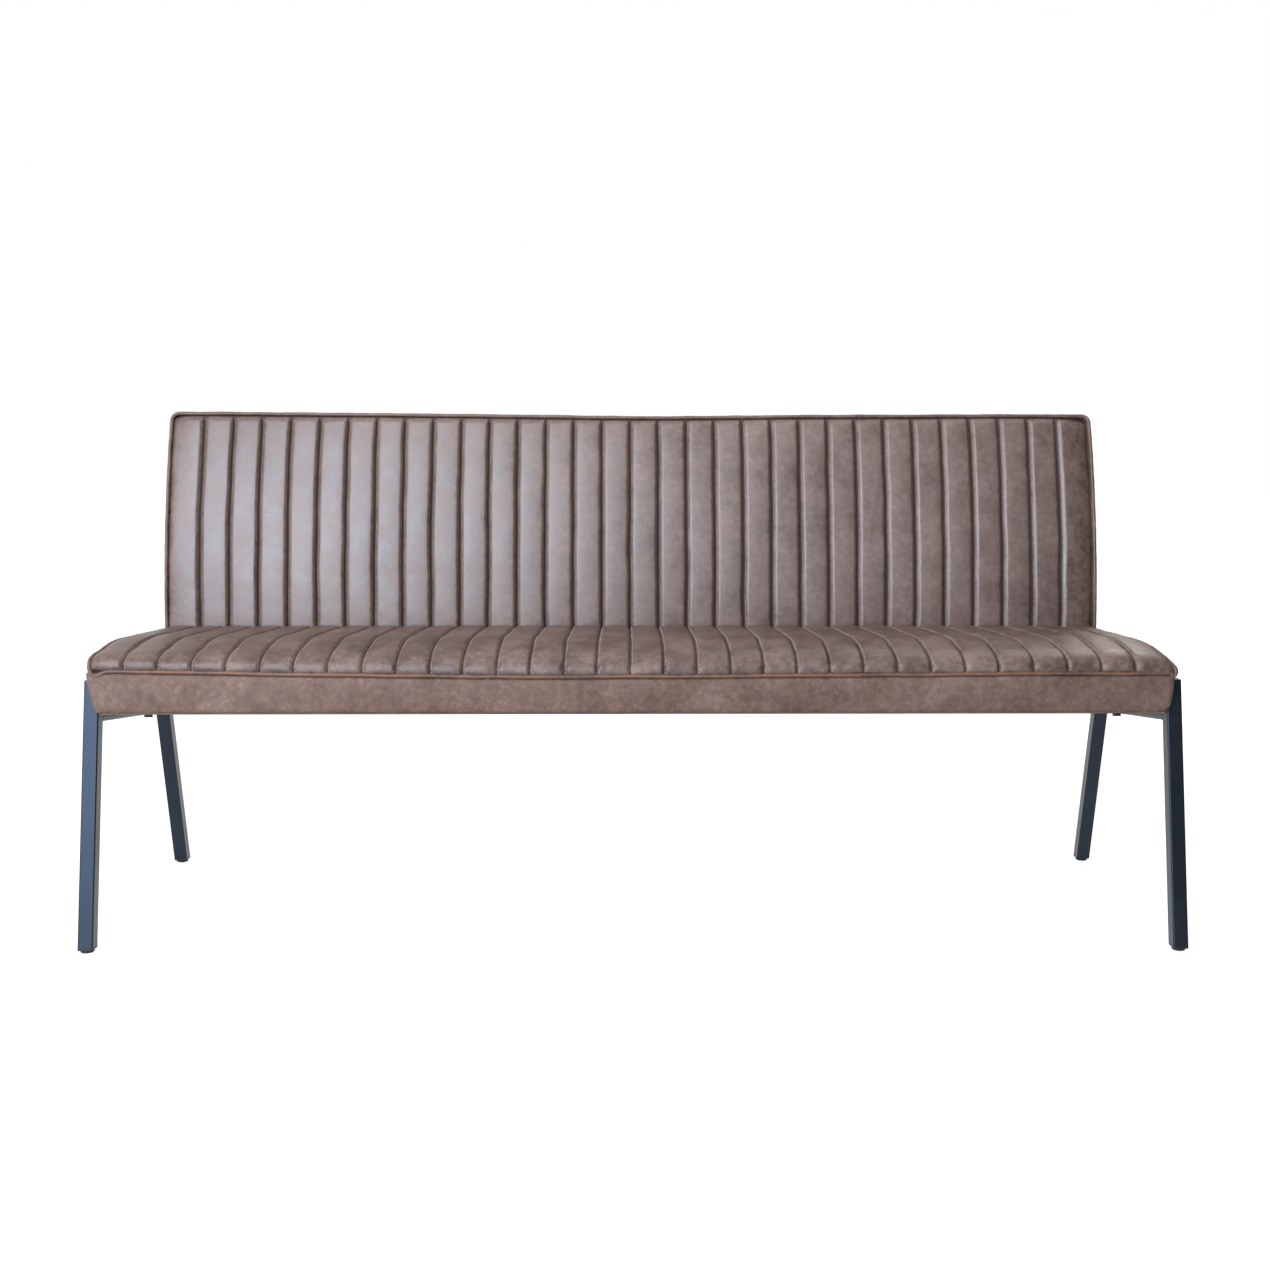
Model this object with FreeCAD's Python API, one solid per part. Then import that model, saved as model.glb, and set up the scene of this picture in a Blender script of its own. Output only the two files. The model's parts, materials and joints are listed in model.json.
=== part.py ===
import FreeCAD, Part

import math
import os
from collections import namedtuple

from FreeCAD import Vector

# Upholstered dining bench: a seat and a backrest, both quilted in straight channels,
# carried by two welded side frames of square steel tube.
# Millimetres and degrees. X runs along the bench, Y from its front to its back, Z up.
# The origin is on the floor, in the middle of the bench's box.

# Whole bench
overall_width = 1800.0  # over the outer faces of the legs
overall_height = 873.0  # floor to the top of the backrest's piping
foot_span = 563.0  # front of the front feet to the back of the rear feet, under the plugs
fit_clearance = 0.3  # between soft faces and what they must stay clear of

# Side frames of square tube
tube_size = 25.0
tube_wall = 1.5
tube_corner_radius = 2.5
front_leg_lean = 11.5  # backwards, going up
rear_leg_lean = 14.3  # forwards, going up
leg_top_rise = 53.0  # tops of the legs over the underside of the seat at its front edge
leg_cap_thickness = 2.0

# Feet
plug_flange_thickness = 3.0
plug_depth = 18.0
glide_diameter = 22.0
glide_thickness = 5.0
glide_chamfer = 1.2
glide_stem_diameter = 6.0
glide_stem_length = 12.0

# Upholstery
cover_thickness = 6.0  # leather with the wadding sewn to its back
channel_count = 32
seat_channel_rise = 4.0  # top of each channel over its seams
seat_groove_width = 7.0  # over the slanting sides of two channels that meet at a seam
back_channel_rise = 6.0
back_groove_width = 17.0
panel_overhang = 10.0  # quilted panels past the inner faces of the legs
piping_diameter = 8.0
piping_sides = 12  # flats round the cord
piping_inset = 1.0  # centre of the piping below the face of the panel

# Seat
seat_base_height = 380.0  # underside of the frame at its front edge
seat_tilt = 7.5  # underside falls towards the back
seat_depth = 440.0  # front face to the front face of the backrest
seat_border_height = 58.0  # plain front border
seat_corner_radius = 8.0  # turn of the piping at the front corners
seat_nose_radius = 14.0
seat_nose_angle = 58.0
seat_fall_radius = 130.0
seat_fall_angle = 22.0
seat_crown_radius = 500.0
seat_crown_angle = 13.2
front_border_flare = 2.0  # foot of the front border past the inner faces of the legs
front_border_corner_radius = 10.0
side_flare_height = 16.0  # of the side borders over the tops of the legs, out to the panel's edge

# Seat frame
frame_rail_height = 50.0
frame_rail_thickness = 25.0
end_rail_width = 40.0
cross_rail_height = 35.0
rear_rail_gap = 2.0  # under the padding of the backrest
corner_block_leg = 70.0
corner_block_thickness = 38.0

# Seat support
strap_count = 12
strap_width = 70.0
cross_rail_strap = 3  # each cross rail lies under this strap, counted from the middle
strap_thickness = 2.0
strap_setback = 4.0  # of each strap's end from the front of the frame
strap_tail = 22.0  # turned up against the rear rail
felt_thickness = 4.0
dust_cover_thickness = 1.0

# Backrest
back_bend_rise = 17.0  # start of its curve over the underside of the seat at its front edge
back_curve_radius = 1250.0
back_corner_radius = 14.0
back_foam_thickness = 34.0
back_board_thickness = 12.0
back_wadding_thickness = 10.5
rear_cover_thickness = 2.5

# Fasteners
fastener_sides = 12  # flats round each shank, hole, washer and flange
bolt_head_sides = 6
bolt_diameter = 8.0
bolt_hole_diameter = 9.0
bolt_head_width = 13.0
bolt_head_height = 5.3
washer_diameter = 18.0
washer_thickness = 1.6
tee_nut_barrel_diameter = 11.0
tee_nut_barrel_length = 12.0
tee_nut_flange_diameter = 22.0
tee_nut_flange_thickness = 1.5
tab_length = 55.0
tab_width = 40.0
tab_thickness = 4.0
tab_corner_radius = 8.0
tab_hole_inset = 35.0  # of the seat bolts from the inner faces of the legs
front_tab_distance = 225.0  # behind the front of the front feet
rear_tab_distance = 400.0
back_bolt_columns = 3
straps_between_bolts = 4
back_bolt_lower_height = 17.0  # above the underside of the rear rail
back_bolt_row_spacing = 42.0
head_pocket_diameter = 24.0  # in the wadding round each bolt head

# Sizes that follow from the ones above
leg_inner_x = overall_width / 2 - tube_size
panel_half = leg_inner_x + panel_overhang
channel_pitch = 2 * panel_half / channel_count
frame_half = leg_inner_x - cover_thickness
strap_pitch = 2 * (frame_half - end_rail_width) / strap_count
cross_rail_offset = (cross_rail_strap - 0.5) * strap_pitch
panel_half_inside = panel_half - cover_thickness
piping_radius = piping_diameter / 2
bore_size = tube_size - 2 * tube_wall
bore_corner_radius = tube_corner_radius - tube_wall
foot_height = plug_flange_thickness + glide_thickness
leg_top_height = seat_base_height + leg_top_rise
back_bend_height = seat_base_height + back_bend_rise
back_board_depth = cover_thickness + back_foam_thickness
back_wadding_depth = back_board_depth + back_board_thickness
rear_cover_depth = back_wadding_depth + back_wadding_thickness
back_thickness = rear_cover_depth + rear_cover_thickness


def sine(angle):
    return math.sin(math.radians(angle))


def cosine(angle):
    return math.cos(math.radians(angle))


def tangent(angle):
    return math.tan(math.radians(angle))


# Angle that the curved part of the backrest turns through, so that its piping ends at the full height.
back_reach = math.hypot(back_curve_radius - piping_inset, back_corner_radius)
back_rise = overall_height - piping_radius - back_bend_height
back_turn = math.degrees(
    math.asin(back_rise / back_reach) - math.atan2(back_corner_radius, back_curve_radius - piping_inset)
)

# Places from the front to the back, first behind the front of the front feet.
seat_front_distance = (
    (seat_base_height - glide_thickness) * tangent(front_leg_lean) - cover_thickness - fit_clearance
)
back_front_distance = seat_front_distance + seat_depth
overall_depth = (
    back_front_distance
    + back_curve_radius
    - (back_curve_radius - back_thickness) * cosine(back_turn)
    + back_corner_radius * sine(back_turn)
)
front_foot_y = -overall_depth / 2
rear_foot_y = front_foot_y + foot_span
seat_front_y = front_foot_y + seat_front_distance
back_front_y = front_foot_y + back_front_distance
seat_rear_y = back_front_y - back_channel_rise - fit_clearance
frame_front_y = seat_front_y + cover_thickness
frame_rear_y = back_front_y + back_board_depth

# Heights over the underside of the seat frame, square to it.
felt_height = frame_rail_height + strap_thickness
foam_height = felt_height + felt_thickness
tab_height = -dust_cover_thickness - tab_thickness
seat_piping_z = seat_base_height + seat_border_height

# A path in the side view is a row of straight and bent stretches. Each starts at (y, z) and heads along an
# angle from +Y towards +Z. A bend turns towards the back. The outer side is on the left of the path.
Straight = namedtuple("Straight", "y z angle length")
Bend = namedtuple("Bend", "y z angle radius turn")


def bend_centre(bend):
    return bend.y + bend.radius * sine(bend.angle), bend.z - bend.radius * cosine(bend.angle)


def path_end(stretch):
    if isinstance(stretch, Straight):
        angle = stretch.angle
        return stretch.y + stretch.length * cosine(angle), stretch.z + stretch.length * sine(angle), angle
    centre_y, centre_z = bend_centre(stretch)
    angle = stretch.angle - stretch.turn
    return centre_y - stretch.radius * sine(angle), centre_z + stretch.radius * cosine(angle), angle


def outwards(stretch, distance):
    y = stretch.y - distance * sine(stretch.angle)
    z = stretch.z + distance * cosine(stretch.angle)
    if isinstance(stretch, Straight):
        return stretch._replace(y=y, z=z)
    return stretch._replace(y=y, z=z, radius=stretch.radius + distance)


def shifted(path, distance):
    return [outwards(stretch, distance) for stretch in path]


def seat_path():
    path = [Straight(seat_front_y, seat_piping_z, 90.0, seat_corner_radius)]
    path.append(Bend(*path_end(path[-1]), seat_nose_radius, seat_nose_angle))
    path.append(Bend(*path_end(path[-1]), seat_fall_radius, seat_fall_angle))
    path.append(Bend(*path_end(path[-1]), seat_crown_radius, seat_crown_angle))
    y, z, angle = path_end(path[-1])
    path.append(Straight(y, z, angle, (seat_rear_y - y) / cosine(angle)))
    return path


def back_path(top_setback=0.0):
    path = [Bend(back_front_y, back_bend_height, 90.0, back_curve_radius, back_turn)]
    path.append(Straight(*path_end(path[-1]), back_corner_radius - top_setback))
    return path


def whole_back_path(top_setback=0.0):
    bottom = seat_z(frame_rear_y, 0.0)
    foot = Straight(back_front_y, bottom, 90.0, back_bend_height - bottom)
    return [foot] + back_path(top_setback)


def path_edges(path, x):
    edges = []
    for stretch in path:
        start = Vector(x, stretch.y, stretch.z)
        end = Vector(x, *path_end(stretch)[:2])
        if isinstance(stretch, Straight):
            edges.append(Part.LineSegment(start, end).toShape())
        else:
            middle = Vector(x, *path_end(stretch._replace(turn=stretch.turn / 2))[:2])
            edges.append(Part.Arc(start, middle, end).toShape())
    return edges


# A section is drawn in the XY plane with its outer side towards -Y, and is carried along a path.
def sweep(section, path):
    pieces = []
    for stretch in path:
        face = section.copy()
        face.rotate(Vector(0, 0, 0), Vector(1, 0, 0), stretch.angle - 90)
        face.translate(Vector(0, stretch.y, stretch.z))
        if isinstance(stretch, Straight):
            heading = Vector(0, cosine(stretch.angle), sine(stretch.angle))
            pieces.append(face.extrude(heading * stretch.length))
        else:
            pieces.append(face.revolve(Vector(0, *bend_centre(stretch)), Vector(-1, 0, 0), stretch.turn))
    if len(pieces) == 1:
        return pieces[0]
    return one_solid(pieces[0].fuse(pieces[1:]))


def one_solid(shape):
    (solid,) = shape.Solids
    return solid


def polygon_face(points):
    return Part.Face(Part.makePolygon(points + points[:1]))


def layer_section(left, right, outer_depth, inner_depth):
    return polygon_face(
        [
            Vector(left, outer_depth, 0),
            Vector(right, outer_depth, 0),
            Vector(right, inner_depth, 0),
            Vector(left, inner_depth, 0),
        ]
    )


# Channels side by side, each with a level top and slanting sides that meet at the seams.
def quilted_section(groove_width, rise):
    slant = groove_width / 2
    points = []
    for number in range(channel_count):
        left = number * channel_pitch - panel_half
        points.append(Vector(left, 0, 0))
        points.append(Vector(left + slant, -rise, 0))
        points.append(Vector(left + channel_pitch - slant, -rise, 0))
    points.append(Vector(panel_half, 0, 0))
    points.append(Vector(panel_half, cover_thickness, 0))
    points.append(Vector(-panel_half, cover_thickness, 0))
    return polygon_face(points)


# A round section in a few flats, square to a heading, with one of its corners towards a given side.
def faceted_face(centre, heading, corner, radius, sides):
    turns = [FreeCAD.Rotation(heading, 360.0 * number / sides) for number in range(sides)]
    return polygon_face([centre + turn.multVec(corner) * radius for turn in turns])


def piping_face(centre, heading, corner):
    return faceted_face(centre, heading, corner, piping_radius, piping_sides)


# The piping runs along one side of a panel, round a corner, across, and back along the other side.
def piping_solid(side_path, corner_point, cross_heading, corner_radius):
    heading = Vector(0, *cross_heading)
    runs = []
    for side in (-1, 1):
        sideways = Vector(side, 0, 0)
        runs.append(sweep(piping_face(sideways * panel_half, Vector(0, 0, 1), sideways), side_path))
        start = sideways * panel_half + Vector(0, *corner_point)
        centre = start - sideways * corner_radius
        runs.append(piping_face(start, heading, sideways).revolve(centre, sideways.cross(heading), 90))
    first = Vector(corner_radius - panel_half, *corner_point) + heading * corner_radius
    cross = piping_face(first, Vector(1, 0, 0), heading)
    return one_solid(cross.extrude(Vector(2 * (panel_half - corner_radius), 0, 0)).fuse(runs))


def seat_z(y, height):
    return seat_base_height - (y - seat_front_y) * tangent(seat_tilt) + height / cosine(seat_tilt)


def across(face, left, right):
    face.translate(Vector(left, 0, 0))
    return face.extrude(Vector(right - left, 0, 0))


def seat_prism(left, right, front, rear, low, high):
    corners = [(front, low), (rear, low), (rear, high), (front, high)]
    return across(polygon_face([Vector(0, y, seat_z(y, height)) for y, height in corners]), left, right)


def rounded_square(size, radius):
    half = size / 2
    plate = Part.makePlane(size, size, Vector(-half, -half, 0)).extrude(Vector(0, 0, 1))
    upright = [edge for edge in plate.Edges if abs(edge.tangentAt(edge.FirstParameter).z) > 0.5]
    rounded = plate.makeFillet(radius, upright)
    return min(rounded.Faces, key=lambda face: face.CenterOfMass.z)


# A bar of square section whose middle line passes through a point in the side view at a given angle.
def square_bar(x, y, z, angle, before, after, size, radius):
    section = rounded_square(size, radius)
    section.rotate(Vector(0, 0, 0), Vector(1, 0, 0), angle - 90)
    heading = Vector(0, cosine(angle), sine(angle))
    section.translate(Vector(x, y, z) - heading * before)
    return section.extrude(heading * (before + after))


def level_slab(low, high):
    reach = overall_width + overall_depth
    return Part.makeBox(2 * reach, 2 * reach, high - low, Vector(-reach, -reach, low))


# Middle line of a leg under its plug, and its angle in the side view.
def leg_line(front):
    if front:
        return front_foot_y + tube_size / 2 / cosine(front_leg_lean), 90 - front_leg_lean
    return rear_foot_y - tube_size / 2 / cosine(rear_leg_lean), 90 + rear_leg_lean


# A length of bar along a leg, cut level at both ends.
def leg_bar(side, front, size, radius, low, high):
    y, angle = leg_line(front)
    x = side * (leg_inner_x + tube_size / 2)
    bar = square_bar(x, y, glide_thickness, angle, tube_size, high + 2 * tube_size, size, radius)
    return bar.common(level_slab(low, high))


def leg_tube(side, front):
    top = leg_top_height - leg_cap_thickness
    outer = leg_bar(side, front, tube_size, tube_corner_radius, foot_height, top)
    return one_solid(outer.cut(leg_bar(side, front, bore_size, bore_corner_radius, foot_height, top)))


def leg_cap(side, front):
    low = leg_top_height - leg_cap_thickness
    return one_solid(leg_bar(side, front, tube_size, tube_corner_radius, low, leg_top_height))


# The room between the facing sides of the front and rear legs.
def between_legs():
    front = leg_line(True)[0] + tube_size / 2 / cosine(front_leg_lean)
    rear = leg_line(False)[0] - tube_size / 2 / cosine(rear_leg_lean)
    rise = leg_top_height - glide_thickness
    corners = [
        Vector(0, front, glide_thickness),
        Vector(0, rear, glide_thickness),
        Vector(0, rear - rise * tangent(rear_leg_lean), leg_top_height),
        Vector(0, front + rise * tangent(front_leg_lean), leg_top_height),
    ]
    return across(polygon_face(corners), -overall_width, overall_width)


def side_rail(side):
    x = side * (leg_inner_x + tube_size / 2)
    place = (x, frame_front_y, seat_z(frame_front_y, 0), -seat_tilt, foot_span, foot_span)
    tube = square_bar(*place, tube_size, tube_corner_radius)
    tube = tube.cut(square_bar(*place, bore_size, bore_corner_radius))
    return one_solid(tube.common(between_legs()))


def faceted_rod(diameter, length, foot=Vector(0, 0, 0)):
    face = faceted_face(foot, Vector(0, 0, 1), Vector(1, 0, 0), diameter / 2, fastener_sides)
    return face.extrude(Vector(0, 0, length))


def foot_place(side, front):
    return Vector(side * (leg_inner_x + tube_size / 2), leg_line(front)[0], glide_thickness)


def glide_stem(side, front):
    return faceted_rod(glide_stem_diameter, glide_stem_length, foot_place(side, front))


def foot_plug(side, front):
    flange = leg_bar(side, front, tube_size, tube_corner_radius, glide_thickness, foot_height)
    body = leg_bar(side, front, bore_size, bore_corner_radius, foot_height, foot_height + plug_depth)
    return one_solid(flange.fuse(body).cut(glide_stem(side, front)))


def floor_glide(side, front):
    place = foot_place(side, front) - Vector(0, 0, glide_thickness)
    pad = Part.makeCylinder(glide_diameter / 2, glide_thickness, place)
    rims = [edge for edge in pad.Edges if edge.BoundBox.ZMax < glide_thickness / 2]
    pad = pad.makeChamfer(glide_chamfer, rims)
    return one_solid(pad.fuse(glide_stem(side, front)))


def placed(shape, place, heading):
    shape.Placement = FreeCAD.Placement(place, FreeCAD.Rotation(Vector(0, 0, 1), heading))
    return shape


# Fasteners are drawn along +Z with the clamped face at zero.
def hex_bolt(length):
    radius = bolt_head_width / 2 / cosine(180.0 / bolt_head_sides)
    head = faceted_face(Vector(0, 0, 0), Vector(0, 0, 1), Vector(1, 0, 0), radius, bolt_head_sides)
    return one_solid(head.extrude(Vector(0, 0, -bolt_head_height)).fuse(faceted_rod(bolt_diameter, length)))


def washer():
    ring = faceted_rod(washer_diameter, washer_thickness)
    return ring.cut(faceted_rod(bolt_hole_diameter, washer_thickness))


def tee_nut():
    flange = faceted_rod(tee_nut_flange_diameter, tee_nut_flange_thickness)
    foot = Vector(0, 0, -tee_nut_barrel_length)
    barrel = faceted_rod(tee_nut_barrel_diameter, tee_nut_barrel_length, foot)
    reach = tee_nut_barrel_length + tee_nut_flange_thickness
    return one_solid(flange.fuse(barrel).cut(faceted_rod(bolt_diameter, reach, foot)))


def bolt_hole(low, high):
    return faceted_rod(bolt_hole_diameter, high - low, Vector(0, 0, low))


def tee_nut_hole():
    foot = Vector(0, 0, -tee_nut_barrel_length)
    return faceted_rod(tee_nut_barrel_diameter, tee_nut_barrel_length, foot)


seat_up = Vector(0, sine(seat_tilt), cosine(seat_tilt))


# Each seat bolt's axis passes through a point on the underside of the frame.
def seat_bolt_places():
    places = []
    for side in (-1, 1):
        for distance in (front_tab_distance, rear_tab_distance):
            y = front_foot_y + distance
            places.append(Vector(side * (leg_inner_x - tab_hole_inset), y, seat_z(y, 0)))
    return places


def on_seat_bolts(make, height):
    return [placed(make(), place + seat_up * height, seat_up) for place in seat_bolt_places()]


def seat_tabs(side):
    tabs = []
    for distance in (front_tab_distance, rear_tab_distance):
        y = front_foot_y + distance
        plate = Part.makeBox(tab_length, tab_width, tab_thickness, Vector(-tab_length, -tab_width / 2, 0))
        upright = [edge for edge in plate.Edges if edge.BoundBox.ZLength > tab_thickness / 2]
        free = [edge for edge in upright if edge.BoundBox.XMax < -tab_length / 2]
        plate = plate.makeFillet(tab_corner_radius, free)
        plate = plate.cut(placed(bolt_hole(0, tab_thickness), Vector(-tab_hole_inset, 0, 0), Vector(0, 0, 1)))
        if side < 0:
            plate.rotate(Vector(0, 0, 0), Vector(0, 0, 1), 180)
        plate.rotate(Vector(0, 0, 0), Vector(1, 0, 0), -seat_tilt)
        plate.translate(Vector(side * leg_inner_x, y, seat_z(y, 0)) + seat_up * tab_height)
        tabs.append(one_solid(plate))
    return Part.makeCompound(tabs)


# Rails that run from front to back, as the middle of each, its width and its height.
def lengthwise_rails():
    end_x = frame_half - end_rail_width / 2
    return [
        (-end_x, end_rail_width, frame_rail_height),
        (-cross_rail_offset, frame_rail_thickness, cross_rail_height),
        (cross_rail_offset, frame_rail_thickness, cross_rail_height),
        (end_x, end_rail_width, frame_rail_height),
    ]


def lengthwise_rail(number):
    x, width, height = lengthwise_rails()[number]
    front = frame_front_y + frame_rail_thickness
    rear = frame_rear_y - frame_rail_thickness
    rail = seat_prism(x - width / 2, x + width / 2, front, rear, 0, height)
    top = frame_rail_height
    if width == end_rail_width:
        holes = on_seat_bolts(lambda: bolt_hole(0, top), 0) + on_seat_bolts(tee_nut_hole, top)
        rail = rail.cut(Part.makeCompound(holes))
    return one_solid(rail)


def seat_front_rail():
    rear = frame_front_y + frame_rail_thickness
    return seat_prism(-frame_half, frame_half, frame_front_y, rear, 0, frame_rail_height)


def seat_rear_rail():
    front = frame_rear_y - frame_rail_thickness
    top = back_bend_height - rear_rail_gap
    corners = [
        Vector(0, front, seat_z(front, 0)),
        Vector(0, frame_rear_y, seat_z(frame_rear_y, 0)),
        Vector(0, frame_rear_y, top),
        Vector(0, front, top),
    ]
    rail = across(polygon_face(corners), -frame_half, frame_half)
    holes = on_back_bolts(lambda: bolt_hole(0, frame_rail_thickness), 0)
    holes += on_back_bolts(tee_nut_hole, frame_rail_thickness)
    return one_solid(rail.cut(Part.makeCompound(holes)))


def corner_blocks():
    blocks = []
    inner_x = frame_half - end_rail_width
    low = (frame_rail_height - corner_block_thickness) / 2
    high = low + corner_block_thickness
    slab = seat_prism(-frame_half, frame_half, frame_front_y, frame_rear_y, low, high)
    for side in (-1, 1):
        for y, heading in (
            (frame_front_y + frame_rail_thickness, 1),
            (frame_rear_y - frame_rail_thickness, -1),
        ):
            corners = [
                Vector(side * inner_x, y, 0),
                Vector(side * (inner_x - corner_block_leg), y, 0),
                Vector(side * inner_x, y + heading * corner_block_leg, 0),
            ]
            column = polygon_face(corners).extrude(Vector(0, 0, overall_height))
            blocks.append(one_solid(column.common(slab)))
    return Part.makeCompound(blocks)


def webbing_straps():
    front = frame_front_y + strap_setback
    rear = frame_rear_y - frame_rail_thickness
    low = frame_rail_height
    corners = [
        (front, low),
        (rear, low),
        (rear, low + strap_tail),
        (rear - strap_thickness, low + strap_tail),
        (rear - strap_thickness, felt_height),
        (front, felt_height),
    ]
    straps = []
    for number in range(strap_count):
        middle = (number - (strap_count - 1) / 2) * strap_pitch
        face = polygon_face([Vector(0, y, seat_z(y, height)) for y, height in corners])
        straps.append(across(face, middle - strap_width / 2, middle + strap_width / 2))
    return Part.makeCompound(straps)


def felt_sheet():
    rear = frame_rear_y - frame_rail_thickness - strap_thickness
    return seat_prism(-frame_half, frame_half, frame_front_y, rear, felt_height, foam_height)


def dust_cover():
    sheet = seat_prism(-frame_half, frame_half, frame_front_y, frame_rear_y, -dust_cover_thickness, 0)
    holes = on_seat_bolts(lambda: bolt_hole(-dust_cover_thickness, 0), 0)
    return one_solid(sheet.cut(Part.makeCompound(holes)))


# Side view of what lies under the seat's quilted cover, down to a height over the frame's underside.
def under_cover_face(bottom_height):
    path = shifted(seat_path(), -cover_thickness)
    rear_y, rear_z = path_end(path[-1])[:2]
    top_front = Vector(0, path[0].y, path[0].z)
    top_rear = Vector(0, rear_y, rear_z)
    low_front = Vector(0, path[0].y, seat_z(path[0].y, bottom_height))
    low_rear = Vector(0, rear_y, seat_z(rear_y, bottom_height))
    edges = path_edges(path, 0)
    edges.append(Part.LineSegment(top_rear, low_rear).toShape())
    edges.append(Part.LineSegment(low_rear, low_front).toShape())
    edges.append(Part.LineSegment(low_front, top_front).toShape())
    return Part.Face(Part.Wire(edges))


def seat_filling():
    return across(under_cover_face(foam_height), -frame_half, frame_half)


def rear_border_room():
    reach = overall_height
    corner = Vector(-frame_half, seat_rear_y - cover_thickness, 0)
    return Part.makeBox(2 * frame_half, reach, reach, corner)


def seat_foam():
    return one_solid(seat_filling().cut(rear_border_room()))


def seat_rear_border():
    return one_solid(seat_filling().common(rear_border_room()))


# A side border stands upright beside the legs and flares over their tops to the edge of the panel.
def seat_side_border(side):
    block = across(under_cover_face(-dust_cover_thickness), *sorted((side * frame_half, side * panel_half)))
    flare_z = leg_top_height + fit_clearance
    outside = [
        Vector(side * leg_inner_x, seat_front_y, 0),
        Vector(side * leg_inner_x, seat_front_y, flare_z),
        Vector(side * panel_half, seat_front_y, flare_z + side_flare_height),
        Vector(side * panel_half, seat_front_y, 0),
    ]
    return one_solid(block.cut(polygon_face(outside).extrude(Vector(0, seat_depth, 0))))


def seat_piping():
    path = shifted(seat_path(), -piping_inset)
    turn = path[1]
    return piping_solid(path[1:], (turn.y, turn.z), (0, -1), seat_corner_radius)


def seat_front_border(piping):
    low = seat_z(seat_front_y, -dust_cover_thickness)
    low_half = leg_inner_x + front_border_flare
    corners = [(-low_half, low), (low_half, low), (panel_half, seat_piping_z), (-panel_half, seat_piping_z)]
    outline = polygon_face([Vector(x, seat_front_y, z) for x, z in corners])
    border = outline.extrude(Vector(0, cover_thickness, 0))
    lengthwise = [edge for edge in border.Edges if edge.BoundBox.YLength > cover_thickness / 2]
    feet = [edge for edge in lengthwise if edge.BoundBox.ZMax < low + seat_border_height / 2]
    return one_solid(border.makeFillet(front_border_corner_radius, feet).cut(piping))


def seat_top_cover(piping):
    return one_solid(sweep(quilted_section(seat_groove_width, seat_channel_rise), seat_path()).cut(piping))


# Front view of the backrest with its rounded top corners, as a block through the whole thickness.
def back_outline():
    reach = overall_height
    y, z, angle = path_end(back_path()[-1])
    half = panel_half
    radius = back_corner_radius
    slant = radius / math.sqrt(2)
    left_foot = Vector(-half, 0, -reach)
    left_end = Vector(-half, 0, -radius)
    top_left = Vector(radius - half, 0, 0)
    top_right = Vector(half - radius, 0, 0)
    right_end = Vector(half, 0, -radius)
    right_foot = Vector(half, 0, -reach)
    left_turn = Vector(radius - half - slant, 0, slant - radius)
    right_turn = Vector(half - radius + slant, 0, slant - radius)
    edges = [
        Part.LineSegment(left_foot, left_end).toShape(),
        Part.Arc(left_end, left_turn, top_left).toShape(),
        Part.LineSegment(top_left, top_right).toShape(),
        Part.Arc(top_right, right_turn, right_end).toShape(),
        Part.LineSegment(right_end, right_foot).toShape(),
        Part.LineSegment(right_foot, left_foot).toShape(),
    ]
    face = Part.Face(Part.Wire(edges))
    face.translate(Vector(0, -reach, 0))
    block = face.extrude(Vector(0, 2 * reach, 0))
    block.rotate(Vector(0, 0, 0), Vector(1, 0, 0), angle - 90)
    block.translate(Vector(0, y, z))
    return block


def back_piping():
    path = shifted(back_path(), -piping_inset)
    turn = path[1]
    return piping_solid(
        path[:1], (turn.y, turn.z), (cosine(turn.angle), sine(turn.angle)), back_corner_radius
    )


def back_front_cover(piping, outline):
    panel = sweep(quilted_section(back_groove_width, back_channel_rise), back_path())
    return one_solid(panel.common(outline).cut(piping))


def back_foam():
    section = layer_section(-panel_half_inside, panel_half_inside, cover_thickness, back_board_depth)
    return sweep(section, back_path(cover_thickness))


# Each back bolt's axis points forwards from a point on the back of the rear rail.
def back_bolt_places():
    low = seat_z(frame_rear_y, 0) + back_bolt_lower_height
    places = []
    for column in range(back_bolt_columns):
        x = (column - (back_bolt_columns - 1) / 2) * straps_between_bolts * strap_pitch
        places.append(Vector(x, frame_rear_y, low))
        places.append(Vector(x, frame_rear_y, low + back_bolt_row_spacing))
    return places


def on_back_bolts(make, distance):
    forwards = Vector(0, -1, 0)
    return [placed(make(), place + forwards * distance, forwards) for place in back_bolt_places()]


def back_board():
    section = layer_section(-panel_half_inside, panel_half_inside, back_board_depth, back_wadding_depth)
    board = sweep(section, whole_back_path(cover_thickness))
    holes = on_back_bolts(lambda: bolt_hole(-back_board_thickness, 0), 0)
    return one_solid(board.cut(Part.makeCompound(holes)))


def back_rear_wadding():
    section = layer_section(-panel_half_inside, panel_half_inside, back_wadding_depth, rear_cover_depth)
    wadding = sweep(section, whole_back_path(cover_thickness))
    depth = back_wadding_thickness
    low = -back_board_thickness - depth
    pockets = on_back_bolts(lambda: faceted_rod(head_pocket_diameter, depth, Vector(0, 0, low)), 0)
    return one_solid(wadding.cut(Part.makeCompound(pockets)))


def back_rear_cover(outline):
    section = layer_section(-panel_half, panel_half, rear_cover_depth, back_thickness)
    return one_solid(sweep(section, whole_back_path()).common(outline))


# The side borders close the ends of the backrest: the whole thickness below the padding, less above.
def back_side_border(side, outline):
    edges = sorted((side * panel_half, side * panel_half_inside))
    low = whole_back_path()[:1]
    foot = sweep(layer_section(*edges, 0, rear_cover_depth), low)
    upper = sweep(layer_section(*edges, cover_thickness, rear_cover_depth), back_path(cover_thickness))
    return one_solid(foot.fuse(upper).common(outline))


def back_top_border(outline):
    section = layer_section(-panel_half, panel_half, cover_thickness, rear_cover_depth)
    start = back_path(cover_thickness)[-1]
    band = sweep(section, [Straight(*path_end(start), cover_thickness)])
    return one_solid(band.common(outline))


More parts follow.
